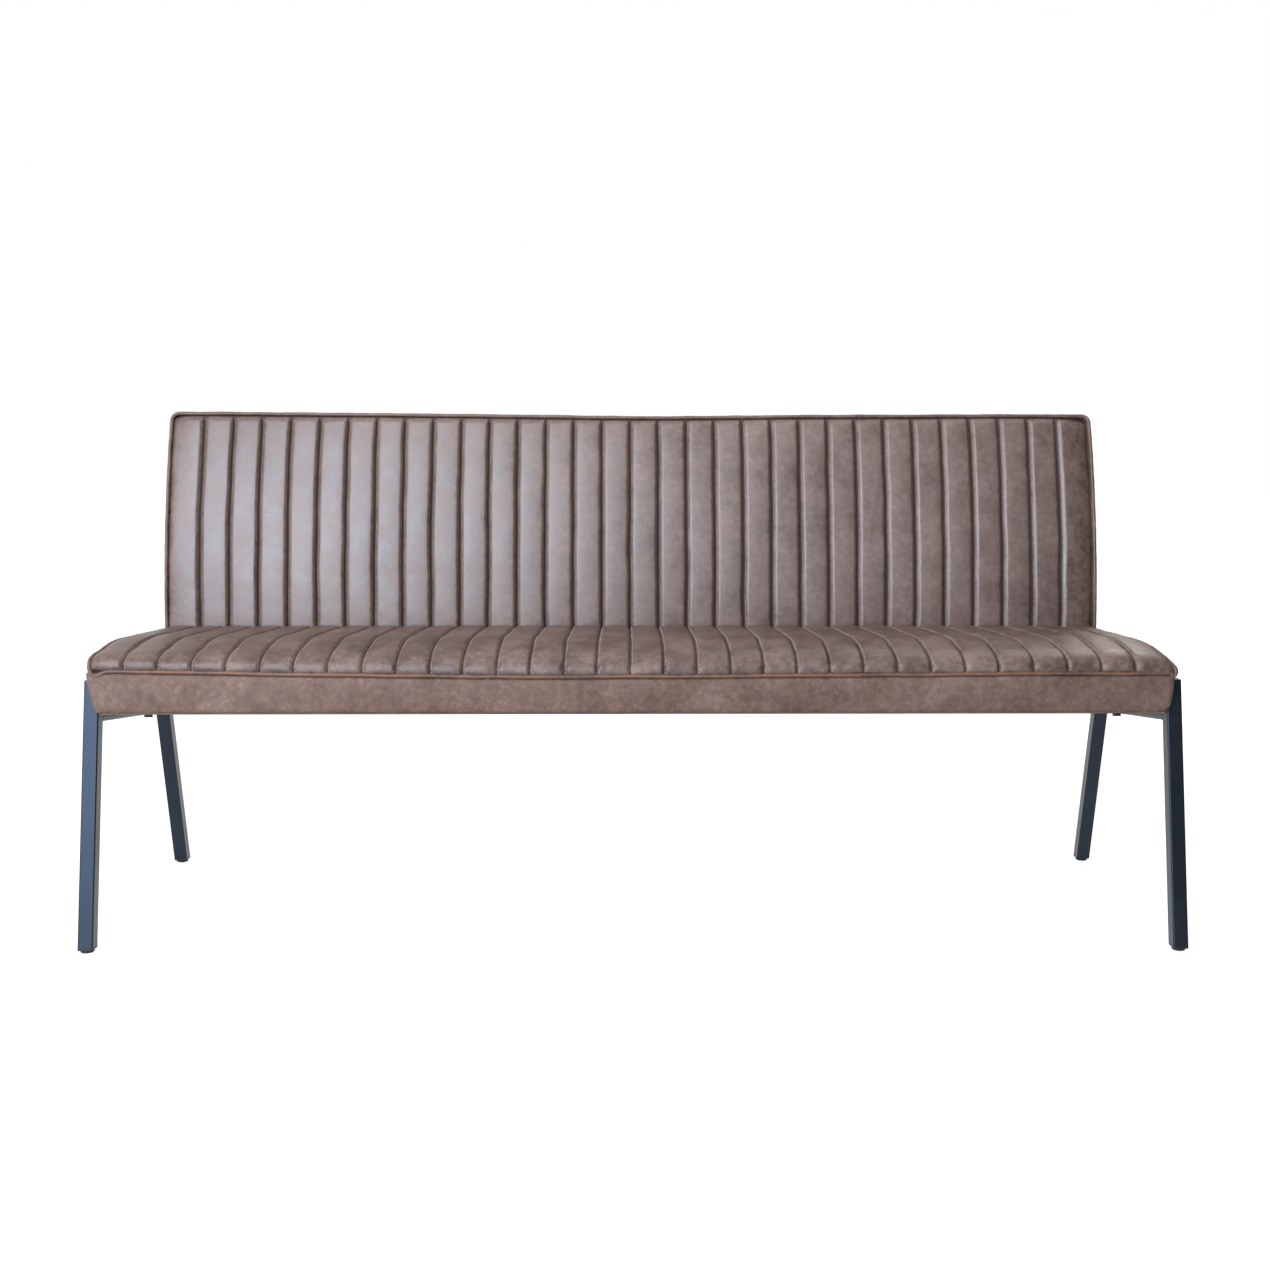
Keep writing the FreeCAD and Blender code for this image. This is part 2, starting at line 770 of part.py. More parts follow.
def fastener_groups():
    seat_grip = washer_thickness + tab_thickness + dust_cover_thickness + frame_rail_height
    back_grip = washer_thickness + back_board_thickness + frame_rail_thickness
    seat_head = tab_height - washer_thickness
    back_head = -back_board_thickness - washer_thickness
    return {
        "seat_bolts": on_seat_bolts(lambda: hex_bolt(seat_grip), seat_head),
        "seat_washers": on_seat_bolts(washer, seat_head),
        "seat_tee_nuts": on_seat_bolts(tee_nut, frame_rail_height),
        "back_bolts": on_back_bolts(lambda: hex_bolt(back_grip), back_head),
        "back_washers": on_back_bolts(washer, back_head),
        "back_tee_nuts": on_back_bolts(tee_nut, frame_rail_thickness),
    }


def every_foot(make):
    return Part.makeCompound([make(side, front) for side in (-1, 1) for front in (True, False)])


def build():
    round_seat = seat_piping()
    round_back = back_piping()
    outline = back_outline()
    nodes = {
        "left_front_leg": leg_tube(-1, True),
        "left_rear_leg": leg_tube(-1, False),
        "left_side_rail": side_rail(-1),
        "left_seat_tabs": seat_tabs(-1),
        "right_front_leg": leg_tube(1, True),
        "right_rear_leg": leg_tube(1, False),
        "right_side_rail": side_rail(1),
        "right_seat_tabs": seat_tabs(1),
        "leg_top_caps": every_foot(leg_cap),
        "foot_plugs": every_foot(foot_plug),
        "floor_glides": every_foot(floor_glide),
        "seat_front_rail": seat_front_rail(),
        "seat_rear_rail": seat_rear_rail(),
        "seat_left_end_rail": lengthwise_rail(0),
        "seat_cross_rails": Part.makeCompound([lengthwise_rail(1), lengthwise_rail(2)]),
        "seat_right_end_rail": lengthwise_rail(3),
        "seat_corner_blocks": corner_blocks(),
        "seat_webbing": webbing_straps(),
        "seat_felt": felt_sheet(),
        "seat_foam": seat_foam(),
        "seat_top_cover": seat_top_cover(round_seat),
        "seat_front_border": seat_front_border(round_seat),
        "seat_left_border": seat_side_border(-1),
        "seat_right_border": seat_side_border(1),
        "seat_rear_border": seat_rear_border(),
        "seat_piping": round_seat,
        "seat_dust_cover": dust_cover(),
        "back_board": back_board(),
        "back_foam": back_foam(),
        "back_rear_wadding": back_rear_wadding(),
        "back_front_cover": back_front_cover(round_back, outline),
        "back_left_border": back_side_border(-1, outline),
        "back_right_border": back_side_border(1, outline),
        "back_top_border": back_top_border(outline),
        "back_rear_cover": back_rear_cover(outline),
        "back_piping": round_back,
    }
    for name, group in fastener_groups().items():
        nodes[name] = Part.makeCompound(group)
    os.makedirs("parts", exist_ok=True)
    for name, shape in nodes.items():
        shape.exportStep(f"parts/{name}.step")


build()
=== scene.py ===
import json
import math

import bpy
import numpy as np
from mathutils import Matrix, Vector


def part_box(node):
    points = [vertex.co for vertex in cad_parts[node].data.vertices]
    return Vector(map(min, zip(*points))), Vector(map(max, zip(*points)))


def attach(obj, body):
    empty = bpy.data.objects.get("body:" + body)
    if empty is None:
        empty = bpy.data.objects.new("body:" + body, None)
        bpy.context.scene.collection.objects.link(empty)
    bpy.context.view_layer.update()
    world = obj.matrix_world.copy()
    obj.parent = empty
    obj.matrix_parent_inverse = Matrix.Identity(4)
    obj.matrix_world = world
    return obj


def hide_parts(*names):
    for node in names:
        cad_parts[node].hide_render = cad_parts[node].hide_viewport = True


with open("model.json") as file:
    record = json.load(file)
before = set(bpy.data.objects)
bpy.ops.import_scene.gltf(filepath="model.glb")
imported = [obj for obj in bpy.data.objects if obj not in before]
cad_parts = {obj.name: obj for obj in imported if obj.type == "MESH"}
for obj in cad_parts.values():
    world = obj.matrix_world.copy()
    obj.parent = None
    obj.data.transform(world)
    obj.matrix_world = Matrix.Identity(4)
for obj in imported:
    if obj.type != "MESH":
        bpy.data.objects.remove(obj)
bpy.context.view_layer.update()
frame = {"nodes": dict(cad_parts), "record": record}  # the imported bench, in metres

from types import SimpleNamespace as Measures

body = "root"  # nothing on the bench moves


# The bench's own measures, from the frame

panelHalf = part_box("back_rear_cover")[1].x  # half the length of the quilted panels
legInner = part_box("right_front_leg")[0].x  # inner faces of the legs
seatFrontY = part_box("seat_front_border")[0].y
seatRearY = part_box("seat_top_cover")[1].y
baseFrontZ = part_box("seat_front_border")[0].z  # lower edge of the front band
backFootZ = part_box("back_rear_cover")[0].z

channels = Measures(
    count=32,
    wander=(0.0009, 0.16),  # how far a seam strays from its line, and over what length
)
channelPitch = 2 * panelHalf / channels.count
lastSeam = channels.count // 2 - 1  # seams are numbered from the middle one

seatShape = Measures(
    pipingHeight=0.438,
    frontRise=0.008,  # upright stretch over the piping
    bends=[(0.014, 58.0), (0.130, 22.0), (0.500, 13.2)],  # radius and turn of nose, fall and crown
    tilt=7.5,  # underside falls towards the back
    foamHeight=0.056,  # underside of the foam over the underside of the frame
    # the front piping rides up to the corners
    frontWave=[(-0.885, 0.0140), (-0.70, 0.0105), (-0.543, 0.0080), (-0.30, 0.0046), (-0.12, 0.0032),
               (0.108, 0.0044), (0.35, 0.0062), (0.596, 0.0078), (0.885, 0.0090)],
    waveReach=0.085,
    # the right end is soft and lies lower
    droop=0.0085, droopWidth=0.085, droopFront=(-0.012, 0.016), droopRear=0.35, droopFade=0.05,
    seamStray=[(-0.885, 0.0), (-0.44, 0.0), (0.0, -0.006), (0.44, -0.014), (0.885, -0.012)],
)

backShape = Measures(
    frontY=0.17847,
    bendHeight=0.397,
    curveRadius=1.250,
    curveTurn=21.56,
    cornerRadius=0.014,
    thickness=0.065,
    boardDepth=0.040,
    # the top edge dips in the middle
    topWave=[(-0.885, 0.0062), (-0.454, 0.0028), (-0.26, 0.0008), (0.0, -0.0028), (0.13, -0.0026),
             (0.32, 0.0), (0.52, 0.0), (0.71, 0.0016), (0.885, 0.0002)],
    waveMost=1.1,  # share of the path's length past which the dip grows no more
    leftSwell=0.0045, swellWidth=0.06,  # the left end bulges outwards
    seamStray=[(-0.885, 0.0045), (-0.55, 0.005), (-0.25, 0.0), (0.11, -0.008), (0.47, -0.0135),
               (0.885, -0.011)],
)
backStart = backShape.bendHeight - backFootZ  # the cushion's foot, along the back's path


# Paths in the side view: straight and bent stretches from a start at (y, z), at first straight up

def bendStretch(radius, turn):
    return radius * math.radians(turn), math.radians(turn)


def pathLength(path):
    return sum(length for length, _ in path["stretches"])


def followPath(path, distance):
    y, z = path["start"]
    heading = math.pi / 2
    ys, zs, headings = (np.zeros_like(distance) for _ in range(3))
    begin = 0.0
    for length, turn in path["stretches"]:
        here = distance >= begin if begin else np.ones_like(distance, bool)
        along = np.append(distance[here] - begin, length)  # the last one is the end of the stretch
        turned = heading - along * turn / length
        if turn:
            nowY = y + (math.sin(heading) - np.sin(turned)) * length / turn
            nowZ = z + (np.cos(turned) - math.cos(heading)) * length / turn
        else:
            nowY = y + along * math.cos(heading)
            nowZ = z + along * math.sin(heading)
        ys[here], zs[here], headings[here] = nowY[:-1], nowZ[:-1], turned[:-1]
        y, z, heading = nowY[-1], nowZ[-1], turned[-1]
        begin += length
    return ys, zs, headings


def seatPath():
    stretches = [(seatShape.frontRise, 0.0)]
    stretches += [bendStretch(radius, turn) for radius, turn in seatShape.bends]
    path = {"start": (seatFrontY, seatShape.pipingHeight), "stretches": stretches}
    y, _, heading = followPath(path, np.array([pathLength(path)]))
    stretches.append((float((seatRearY - y[0]) / math.cos(heading[0])), 0.0))
    return path


def backPath():
    curve = bendStretch(backShape.curveRadius, backShape.curveTurn)
    stretches = [(backStart, 0.0), curve, (backShape.cornerRadius, 0.0)]
    return {"start": (backShape.frontY, backFootZ), "stretches": stretches}


seatLine = seatPath()
backLine = backPath()
seatLength = pathLength(seatLine)
backLength = pathLength(backLine)


# A point off a path: x along the bench, distance along the path, height out of its face
def onPath(path, x, distance, height):
    x, distance, height = np.broadcast_arrays(x, distance, height)
    y, z, heading = followPath(path, distance.ravel().astype(float))
    y = y.reshape(x.shape) - height * np.sin(heading).reshape(x.shape)
    z = z.reshape(x.shape) + height * np.cos(heading).reshape(x.shape)
    return np.stack([x, y, z], axis=-1)


waveLine = Measures(steps=241, blur=31)  # steps along the bench, and how many of them blur a bend


# A smooth line along a few points of place and height
def waveAt(points, x):
    places, heights = np.array(points).T
    steps = np.linspace(places[0], places[-1], waveLine.steps)
    kernel = np.hanning(waveLine.blur)
    level = np.interp(steps, places, heights)
    padded = np.pad(level, waveLine.blur // 2, mode="edge")
    smooth = np.convolve(padded, kernel / kernel.sum(), mode="valid")
    return np.interp(x, steps, smooth)


rippling = Measures(waves=7, sizes=(0.6, 1.7), calm=4.5)
seeds = {
    "seatUneven": 3, "seatPucker": 5, "seatSeams": 11, "backUneven": 7, "backSeams": 13,
    "frontBand": 21, "sideBand": 31, "panelSag": 41, "panelUneven": 43,
    "welt": 51, "frontWeltDepth": 61, "frontWeltHeight": 63, "backWelt": 71, "dustCloth": 81,
}


# Gentle unevenness, of a height and about a length, from a few waves
def ripple(u, v, heightAndLength, seed):
    height, length = heightAndLength
    draw = np.random.default_rng(seeds[seed])
    total = 0.0
    for _ in range(rippling.waves):
        angle = draw.uniform(0, math.tau)
        size = length * draw.uniform(*rippling.sizes)
        phase = draw.uniform(0, math.tau)
        total = total + np.sin((u * math.cos(angle) + v * math.sin(angle)) * math.tau / size + phase)
    return height * (total / rippling.calm)


# Where the seams lie, off an even spacing, as the channels are not all of one width
def strayed(x, distance, shape, seed):
    stray = waveAt(shape.seamStray, x) * np.clip((panelHalf - np.abs(x)) / channelPitch, 0, 1)
    return x + ripple(x, distance, channels.wander, seed) + stray


def smoothStep(value, low, high):
    share = np.clip((value - low) / (high - low), 0, 1)
    return share * share * (3 - 2 * share)


def nearEdge(gap, width):  # 1 at an edge, 0 at its width away and beyond
    return np.clip(1 - gap / width, 0, 1)


def roundOver(near):  # how far a round edge has fallen, as a share of its radius
    return 1 - np.sqrt(1 - near ** 2)


# Modelling

# Runs an operator that adds an object, and names what it adds
def addObject(operator, name, **settings):
    if bpy.context.object and bpy.context.object.mode != "OBJECT":
        bpy.ops.object.mode_set(mode="OBJECT")
    bpy.ops.object.select_all(action="DESELECT")
    operator(**settings)
    bpy.context.object.name = name
    return bpy.context.object


# A grid primitive, with the column and the row of each of its vertices
def numberedGrid(name, columns, rows):
    counts = {"x_subdivisions": columns - 1, "y_subdivisions": rows - 1}
    piece = addObject(bpy.ops.mesh.primitive_grid_add, name, size=1, **counts)
    places = np.empty(len(piece.data.vertices) * 3)
    piece.data.vertices.foreach_get("co", places)
    x, y, _ = places.reshape(-1, 3).T + 0.5
    return piece, np.rint(x * (columns - 1)).astype(int), np.rint(y * (rows - 1)).astype(int)


mergeGap = 1e-6


# A grid wrapped round: points[along, round] closes on itself and is capped at both ends
def wrapGrid(name, points, sharp, rise=None):
    along, around = points.shape[:2]
    piece, column, row = numberedGrid(name, along, around + 1)
    row = row % around
    piece.data.vertices.foreach_set("co", points[column, row].ravel())
    levels = np.ones((along, around)) if rise is None else rise
    stored = piece.data.attributes.new("rise", "FLOAT", "POINT")
    stored.data.foreach_set("value", levels[column, row].astype(np.float32))
    bpy.ops.object.mode_set(mode="EDIT")
    bpy.ops.mesh.select_all(action="SELECT")
    bpy.ops.mesh.remove_doubles(threshold=mergeGap)
    bpy.ops.mesh.fill_holes(sides=0)
    bpy.ops.mesh.select_all(action="SELECT")
    bpy.ops.mesh.normals_make_consistent(inside=False)
    bpy.ops.object.mode_set(mode="OBJECT")
    bpy.ops.object.shade_smooth_by_angle(angle=math.radians(sharp))
    return piece


def finishPiece(piece, material, slot, *nodes):
    piece.data.materials.clear()
    piece.data.materials.append(material)
    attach(piece, body)
    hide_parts(*nodes)
    print("piece", piece.name, len(piece.data.polygons), "faces")


# Columns of vertices across the channels, closer together beside the seams
def channelColumns(offsets):
    half = channelPitch / 2
    near = [offset for offset in offsets if offset < half]
    across = near + [half] + [channelPitch - offset for offset in reversed(near[1:])]
    columns = [number * channelPitch + offset - panelHalf
               for number in range(channels.count) for offset in across]
    return np.array(columns + [panelHalf])


# Distances along a path, by stretches of end and spacing; an end of 0 or less counts from the far end
def rowSteps(length, stretches):
    rows = [0.0]
    for reach, step in stretches:
        end = reach if reach > 0 else length + reach
        count = max(1, round((end - rows[-1]) / step))
        rows += list(np.linspace(rows[-1], end, count + 1)[1:])
    return np.array(rows)


def seamDistance(x, steep):
    nearest = np.clip(np.rint(x / channelPitch), -lastSeam, lastSeam)
    gap = x - nearest * channelPitch
    return np.where(gap < 0, -gap * steep, gap)  # the left wall of a groove is the steeper one


# Height of the quilting over its path, and its rise: 0 down in a seam or at an edge, 1 on a channel
def quiltHeight(x, fromStart, fromEnd, quilt):
    away = seamDistance(x, quilt.steep)
    flat = quilt.seamFlat
    seam = nearEdge(away - flat, quilt.grooveHalf - flat)
    edge = np.maximum(nearEdge(fromStart, quilt.startRoll), nearEdge(fromEnd, quilt.endRoll))
    near = np.clip(np.hypot(seam, edge), 0, 1)
    rise = 1 - near ** quilt.shoulder
    crown = 1 - (1 - np.clip(away / (channelPitch / 2), 0, 1)) ** 2
    height = quilt.rise * rise + quilt.crown * crown * rise - quilt.sunk
    height = height - quilt.crease * np.exp(-(away / quilt.creaseHalf) ** 2) * (1 - edge)
    side = nearEdge(panelHalf - quilt.sideGap - np.abs(x), quilt.sideRoll)
    height = height - (quilt.rise + quilt.sideDrop) * roundOver(side)
    height = height - quilt.edgeDrop * roundOver(edge)
    height = height - quilt.rightFall * nearEdge(panelHalf - x, channelPitch)
    return height, rise


# Swell of the channels, from a cloth that is sewn down along the seams and edges and blown up a little

puffing = Measures(
    columns=6, step=0.0095, frames=20,
    pressure=40.0, mass=0.02, growth=0.02, stiffness=15.0,
    kept=0.42,  # share of the cloth's swell
    quickSwell=0.0048,
)


def puffField(name, path, start, end):
    across = np.linspace(-panelHalf, panelHalf, channels.count * puffing.columns + 1)
    along = np.linspace(start, end, int((end - start) / puffing.step) + 1)
    rest = onPath(path, across[:, None], along, 0.0)
    out = onPath(path, across[:, None], along, 1.0) - rest
    swell = np.sum((blownUp(name, rest) - rest) * out, axis=-1)
    print("puff", name, round(float(swell.max()) * 1000, 2), "mm at most")
    return across, along, np.pad(np.clip(swell, 0, None), (1, 2), mode="edge")


def blownUp(name, rest):
    columns, rows = rest.shape[:2]
    cloth, column, row = numberedGrid(name, columns, rows)
    cloth.data.vertices.foreach_set("co", rest[column, row].ravel())
    sewn = np.nonzero((column % puffing.columns == 0) | (row == 0) | (row == rows - 1))[0]
    cloth.vertex_groups.new(name="sewn").add(sewn.tolist(), 1.0, "REPLACE")
    puff = cloth.modifiers.new("puff", "CLOTH")
    puff.collision_settings.use_collision = False
    settings = puff.settings
    settings.vertex_group_mass = "sewn"
    settings.mass = puffing.mass
    settings.tension_stiffness = settings.compression_stiffness = puffing.stiffness
    settings.use_pressure = True
    settings.uniform_pressure_force = puffing.pressure
    settings.shrink_min = -puffing.growth
    settings.effector_weights.gravity = 0
    for frameNumber in range(1, puffing.frames + 1):
        bpy.context.scene.frame_set(frameNumber)
    ready = cloth.evaluated_get(bpy.context.evaluated_depsgraph_get()).data
    places = np.empty(rest.size)
    ready.vertices.foreach_get("co", places)
    moved = np.empty_like(rest)
    moved[column, row] = places.reshape(-1, 3)
    bpy.data.objects.remove(cloth)
    bpy.context.scene.frame_set(1)
    return moved


def splineShares(t):
    return ((1 - t) ** 3 / 6, (3 * t ** 3 - 6 * t ** 2 + 4) / 6,
            (1 + 3 * t + 3 * t ** 2 - 3 * t ** 3) / 6, t ** 3 / 6)


def cellPlace(value, steps):  # place among the steps, kept inside the last cell
    return np.clip((value - steps[0]) / (steps[1] - steps[0]), 0, len(steps) - 1.001)


def swellAt(field, x, distance, most):
    across, along, swell = field
    u, v = np.broadcast_arrays(cellPlace(x, across), cellPlace(distance, along))
    i, j = u.astype(int), v.astype(int)
    total = np.zeros(u.shape)
    for a, shareU in enumerate(splineShares(u - i)):
        for b, shareV in enumerate(splineShares(v - j)):
            total += shareU * shareV * swell[i + a, j + b]
    return most * np.tanh(total * puffing.kept / most)


seatPuff = puffField("seat_puff", seatLine, 0.0, seatLength)
backPuff = puffField("back_puff", backLine, backStart, backLength)


# Shader building

class Wire:  # a socket that takes part in sums
    def __init__(self, nodes, socket):
        self.nodes = nodes
        self.socket = socket

    def calc(self, operation, *values):
        return self.nodes.node("Math", {"operation": operation}, dict(enumerate(values)))

    def __add__(self, other):
        return self.calc("ADD", self, other)

    __radd__ = __add__

    def __sub__(self, other):
        return self.calc("SUBTRACT", self, other)

    def __rsub__(self, other):
        return self.calc("SUBTRACT", other, self)

    def __mul__(self, other):
        return self.calc("MULTIPLY", self, other)

    __rmul__ = __mul__

    def __abs__(self):
        return self.calc("ABSOLUTE", self)

    def orMore(self, other):
        return self.calc("MAXIMUM", self, other)


class Nodes:  # the nodes of a material or of the world
    def __init__(self, tree):
        self.tree = tree

    def node(self, kind, settings=None, sockets=None, output=0):
        node = self.tree.nodes.new("ShaderNode" + kind)
        for name, value in (settings or {}).items():
            setattr(node, name, value)
        for name, value in (sockets or {}).items():
            self.join(value, node.inputs[name])
        return Wire(self, node.outputs[output])

    def join(self, value, socket):
        if isinstance(value, Wire):
            self.tree.links.new(value.socket, socket)
        elif socket.type == "RGBA":
            socket.default_value = (*value, 1)
        else:
            socket.default_value = value

    def clearRays(self):  # 1 for rays that show the background: straight, mirrored or through glass
        rays = ("Is Camera Ray", "Is Glossy Ray", "Is Transmission Ray")
        straight, mirrored, through = (self.node("LightPath", output=ray) for ray in rays)
        return straight.orMore(mirrored).orMore(through)


class Finish(Nodes):  # a material, in the piece's own coordinates
    def __init__(self, name, **constants):
        self.material = bpy.data.materials.new(name)
        self.material.use_nodes = True
        super().__init__(self.material.node_tree)
        self.shader = self.tree.nodes["Principled BSDF"]
        self.place = self.node("TexCoord", output="Object")
        self.paint(**constants)

    def paint(self, **values):
        for socket, value in values.items():
            self.join(value, self.shader.inputs[socket.replace("_", " ")])
        return self.material

    def noise(self, scale, detail, roughness, place=None, distortion=0.0):
        sockets = {"Vector": place or self.place, "Scale": scale, "Detail": detail,
                   "Roughness": roughness, "Distortion": distortion}
        return self.node("TexNoise", None, sockets)

    def cells(self, scale, feature="F1"):
        sockets = {"Vector": self.place, "Scale": scale}
        return self.node("TexVoronoi", {"feature": feature}, sockets, "Distance")

    def stretched(self, scale, turn=(0, 0, 0)):
        return self.node("Mapping", None, {"Vector": self.place, "Scale": scale, "Rotation": turn})

    def between(self, value, low, high):
        sockets = {"Value": value, "From Min": low, "From Max": high}
        return self.node("MapRange", {"interpolation_type": "SMOOTHSTEP"}, sockets)

    def mix(self, factor, first, second):
        return self.node("Mix", {"data_type": "RGBA"}, {0: factor, 6: first, 7: second}, 2)

    def axis(self, name):
        return self.node("SeparateXYZ", None, {0: self.place}, name)

    def ends(self, near, far):  # 1 along the bench, falling to 0 at both its ends
        return 1 - self.between(abs(self.axis("X")), near, far)

    def attribute(self, name):
        return self.node("Attribute", {"attribute_name": name}, None, "Fac")

    def bump(self, height, strength, distance, under=None):
        sockets = {"Height": height, "Strength": strength, "Distance": distance}
        if under:
            sockets["Normal"] = under
        return self.node("Bump", None, sockets)


leatherLook = Measures(
    dark=(0.098, 0.053, 0.040), middle=(0.158, 0.095, 0.074), light=(0.225, 0.147, 0.120),
    middleTone=(0.36, 0.52), lightTone=(0.49, 0.64),  # cloudiness where these begin and are full
    fleck=(0.42, 0.285, 0.215),
    edge=(0.26, 0.17, 0.135),  # rubbed shoulders of the channels, partly real wear and partly a painted highlight
    # painted shade: the colour laid down in the seams, where their shade falls
    seamDirt=(0.040, 0.021, 0.015),
    worn=(0.27, 0.118, 0.055),  # where the colour has gone from the piping
    wornDepth=(0.003, 0.012), wornEnds=(0.80, 0.875),  # off the seat's front and middle
    clouds=3.4, patches=19.0, mottle=95.0, specks=420.0,  # marks per metre, broad to fine
    creases=150.0, grain=900.0,
    scratches=42.0, scratchWidth=0.012, scratchGroups=11.0, scratchDark=0.55,
    streaks=(26.0, 26.0, 3.0), streakLight=0.3,
)


# Waxed leather: cloudy patches, worn flecks, scratches, fine pebble grain
def leatherFinish(name, flecks=0.5, worn=0.0, gloss=0.7, roughness=0.42, seamShadeReach=0.4, rubAndSheen=0.35, tint=(1, 1, 1),
                  blotch=1.0):
    look = leatherLook
    leather = Finish(name, Specular_IOR_Level=gloss)
    clouds = leather.noise(look.clouds, 4.0, 0.6)
    patches = leather.noise(look.patches, 6.0, 0.62)
    mottle = leather.noise(look.mottle, 4.0, 0.6)
    specks = leather.noise(look.specks, 3.0, 0.6)
    tone = (clouds * 0.3 + patches * 0.4 + mottle * 0.3 - 0.5) * blotch + 0.5
    dark, middle, light = (np.multiply(shade, tint) for shade in (look.dark, look.middle, look.light))
    base = leather.mix(leather.between(tone, *look.middleTone), dark, middle)
    base = leather.mix(leather.between(tone, *look.lightTone), base, light)
    flecked = leather.between(specks, 0.56, 0.68) * leather.between(mottle * 0.5 + patches * 0.5, 0.44, 0.62)
    base = leather.mix(flecked * flecks, base, look.fleck)
    slanted = leather.stretched((1.0, 1.0, 0.35), (0.3, 0.4, 0.6))
    lines = abs(leather.noise(look.scratches, 2.0, 0.5, slanted, 0.8) - 0.5)
    groups = leather.between(leather.noise(look.scratchGroups, 2.0, 0.5), 0.60, 0.68)
    scratched = (1 - leather.between(lines, 0.0, look.scratchWidth)) * groups
    base = leather.mix(scratched * look.scratchDark, base, look.dark)
    streaks = leather.noise(3.0, 4.0, 0.6, leather.stretched(look.streaks))
    base = leather.mix(leather.between(streaks, 0.5, 0.75) * look.streakLight, base, look.light)
    rise = leather.attribute("rise")
    shoulders = leather.between(rise, 0.2, 0.5) * (1 - leather.between(rise, 0.6, 0.95))
    # lighter shoulders: partly real wear, partly a painted highlight along the channel walls
    base = leather.mix(shoulders * leather.between(mottle, 0.4, 0.6) * rubAndSheen, base, look.edge)
    # painted shade: darker down in the seams, and where the rise is lowered at the back's ends
    base = leather.mix((1 - leather.between(rise, seamShadeReach * 0.2, seamShadeReach)) * 0.95, base, look.seamDirt)
    if worn:
        ahead = leather.between(leather.axis("Y"), *(seatFrontY + depth for depth in look.wornDepth))
        front = (1 - ahead) * leather.ends(*look.wornEnds)
        bare = leather.between(patches * 0.6 + mottle * 0.4, 0.38, 0.60) * front
        base = leather.mix(bare * worn, base, look.worn)
    grain = leather.cells(look.grain, "SMOOTH_F1")
    creases = leather.noise(look.creases, 5.0, 0.65, None, 0.6)
    relief = leather.bump(creases, 0.22, 0.0012, leather.bump(grain, 0.25, 0.0004))
    rough = roughness + (mottle - 0.5) * (0.22 * blotch) + (patches - 0.5) * (0.3 * blotch) + flecked * 0.12
    rough = rough + (1 - leather.between(rise, 0.05, 0.45)) * 0.35  # dull down in the seams
    return leather.paint(Base_Color=base, Roughness=rough, Normal=relief)


# Satin powder coat with a fine orange peel and some dust
steelLook = Measures(
    clean=(0.0035, 0.004, 0.0055), marked=(0.010, 0.0115, 0.015), markTone=(0.45, 0.75),
    grain=900.0, grainDepth=(0.12, 0.0003), marks=14.0, detail=5.0,  # grain, marks per metre
    roughness=0.33, uneven=0.16,
)

# Moulded plastic, scuffed
plasticLook = Measures(
    clean=(0.012, 0.012, 0.013), marked=(0.04, 0.038, 0.036), markTone=(0.5, 0.8),
    grain=1500.0, grainDepth=(0.2, 0.0002), marks=60.0, detail=4.0,
    roughness=0.55, uneven=0.3,
)


def coatFinish(name, look, **constants):
    coat = Finish(name, **constants)
    grain = coat.noise(look.grain, 2.0, 0.5)
    marks = coat.noise(look.marks, look.detail, 0.6)
    base = coat.mix(coat.between(marks, *look.markTone), look.clean, look.marked)
    rough = look.roughness + (marks - 0.5) * look.uneven
    return coat.paint(Base_Color=base, Roughness=rough, Normal=coat.bump(grain, *look.grainDepth))


# Sawn boards: rings drawn out along the length
def timberFinish(name, pale, dark, stretch):
    wood = Finish(name, Specular_IOR_Level=0.25)
    place = wood.stretched(stretch)
    rings = wood.noise(6.0, 5.0, 0.55, place, 0.8)
    pores = wood.noise(40.0, 3.0, 0.6, place)
    base = wood.mix(wood.between(rings, 0.35, 0.65), pale, dark)
    base = wood.mix(wood.between(pores, 0.58, 0.72) * 0.5, base, dark)
    rough = 0.62 + (pores - 0.5) * 0.3
    return wood.paint(Base_Color=base, Roughness=rough, Normal=wood.bump(pores, 0.25, 0.0004))


zincLook = Measures(plate=(0.05, 0.05, 0.054), stain=(0.09, 0.085, 0.08), spangle=240.0, stains=70.0)


def zincPlate():
    look = zincLook
    zinc = Finish("zinc_plate", Metallic=1.0)
    spangle = zinc.cells(look.spangle)
    stains = zinc.noise(look.stains, 4.0, 0.6)
    base = zinc.mix(zinc.between(stains, 0.45, 0.7), look.plate, look.stain)
    return zinc.paint(Base_Color=base, Roughness=0.3 + spangle * 0.25, Normal=zinc.bump(stains, 0.1, 0.0002))


# Woven straps and sheets: two sets of threads
def wovenFinish(name, light, dark, scale, roughness=0.85):
    cloth = Finish(name, Specular_IOR_Level=0.15)
    sockets = {"Vector": cloth.place, "Scale": scale, "Distortion": 0.6, "Detail": 1.0}
    warp, weft = (cloth.node("TexWave", {"bands_direction": way}, sockets) for way in "XY")
    weave = warp * weft
    fuzz = cloth.noise(300.0, 3.0, 0.6)
    base = cloth.mix(weave * 0.7 + fuzz * 0.3, dark, light)
    rough = roughness + (fuzz - 0.5) * 0.1
    return cloth.paint(Base_Color=base, Roughness=rough, Normal=cloth.bump(weave, 0.4, 0.0005))


threadLook = Measures(dull=(0.34, 0.255, 0.205), bright=(0.54, 0.43, 0.35), twist=2600.0, wear=30.0)


def threadFinish():
    look = threadLook
    thread = Finish("thread", Specular_IOR_Level=0.3)
    twist = thread.noise(look.twist, 2.0, 0.5)
    wear = thread.noise(look.wear, 3.0, 0.6)
    base = thread.mix(thread.between(wear, 0.4, 0.7), look.dull, look.bright)
    rough = 0.6 + (twist - 0.5) * 0.3
    return thread.paint(Base_Color=base, Roughness=rough, Normal=thread.bump(twist, 0.3, 0.0002))


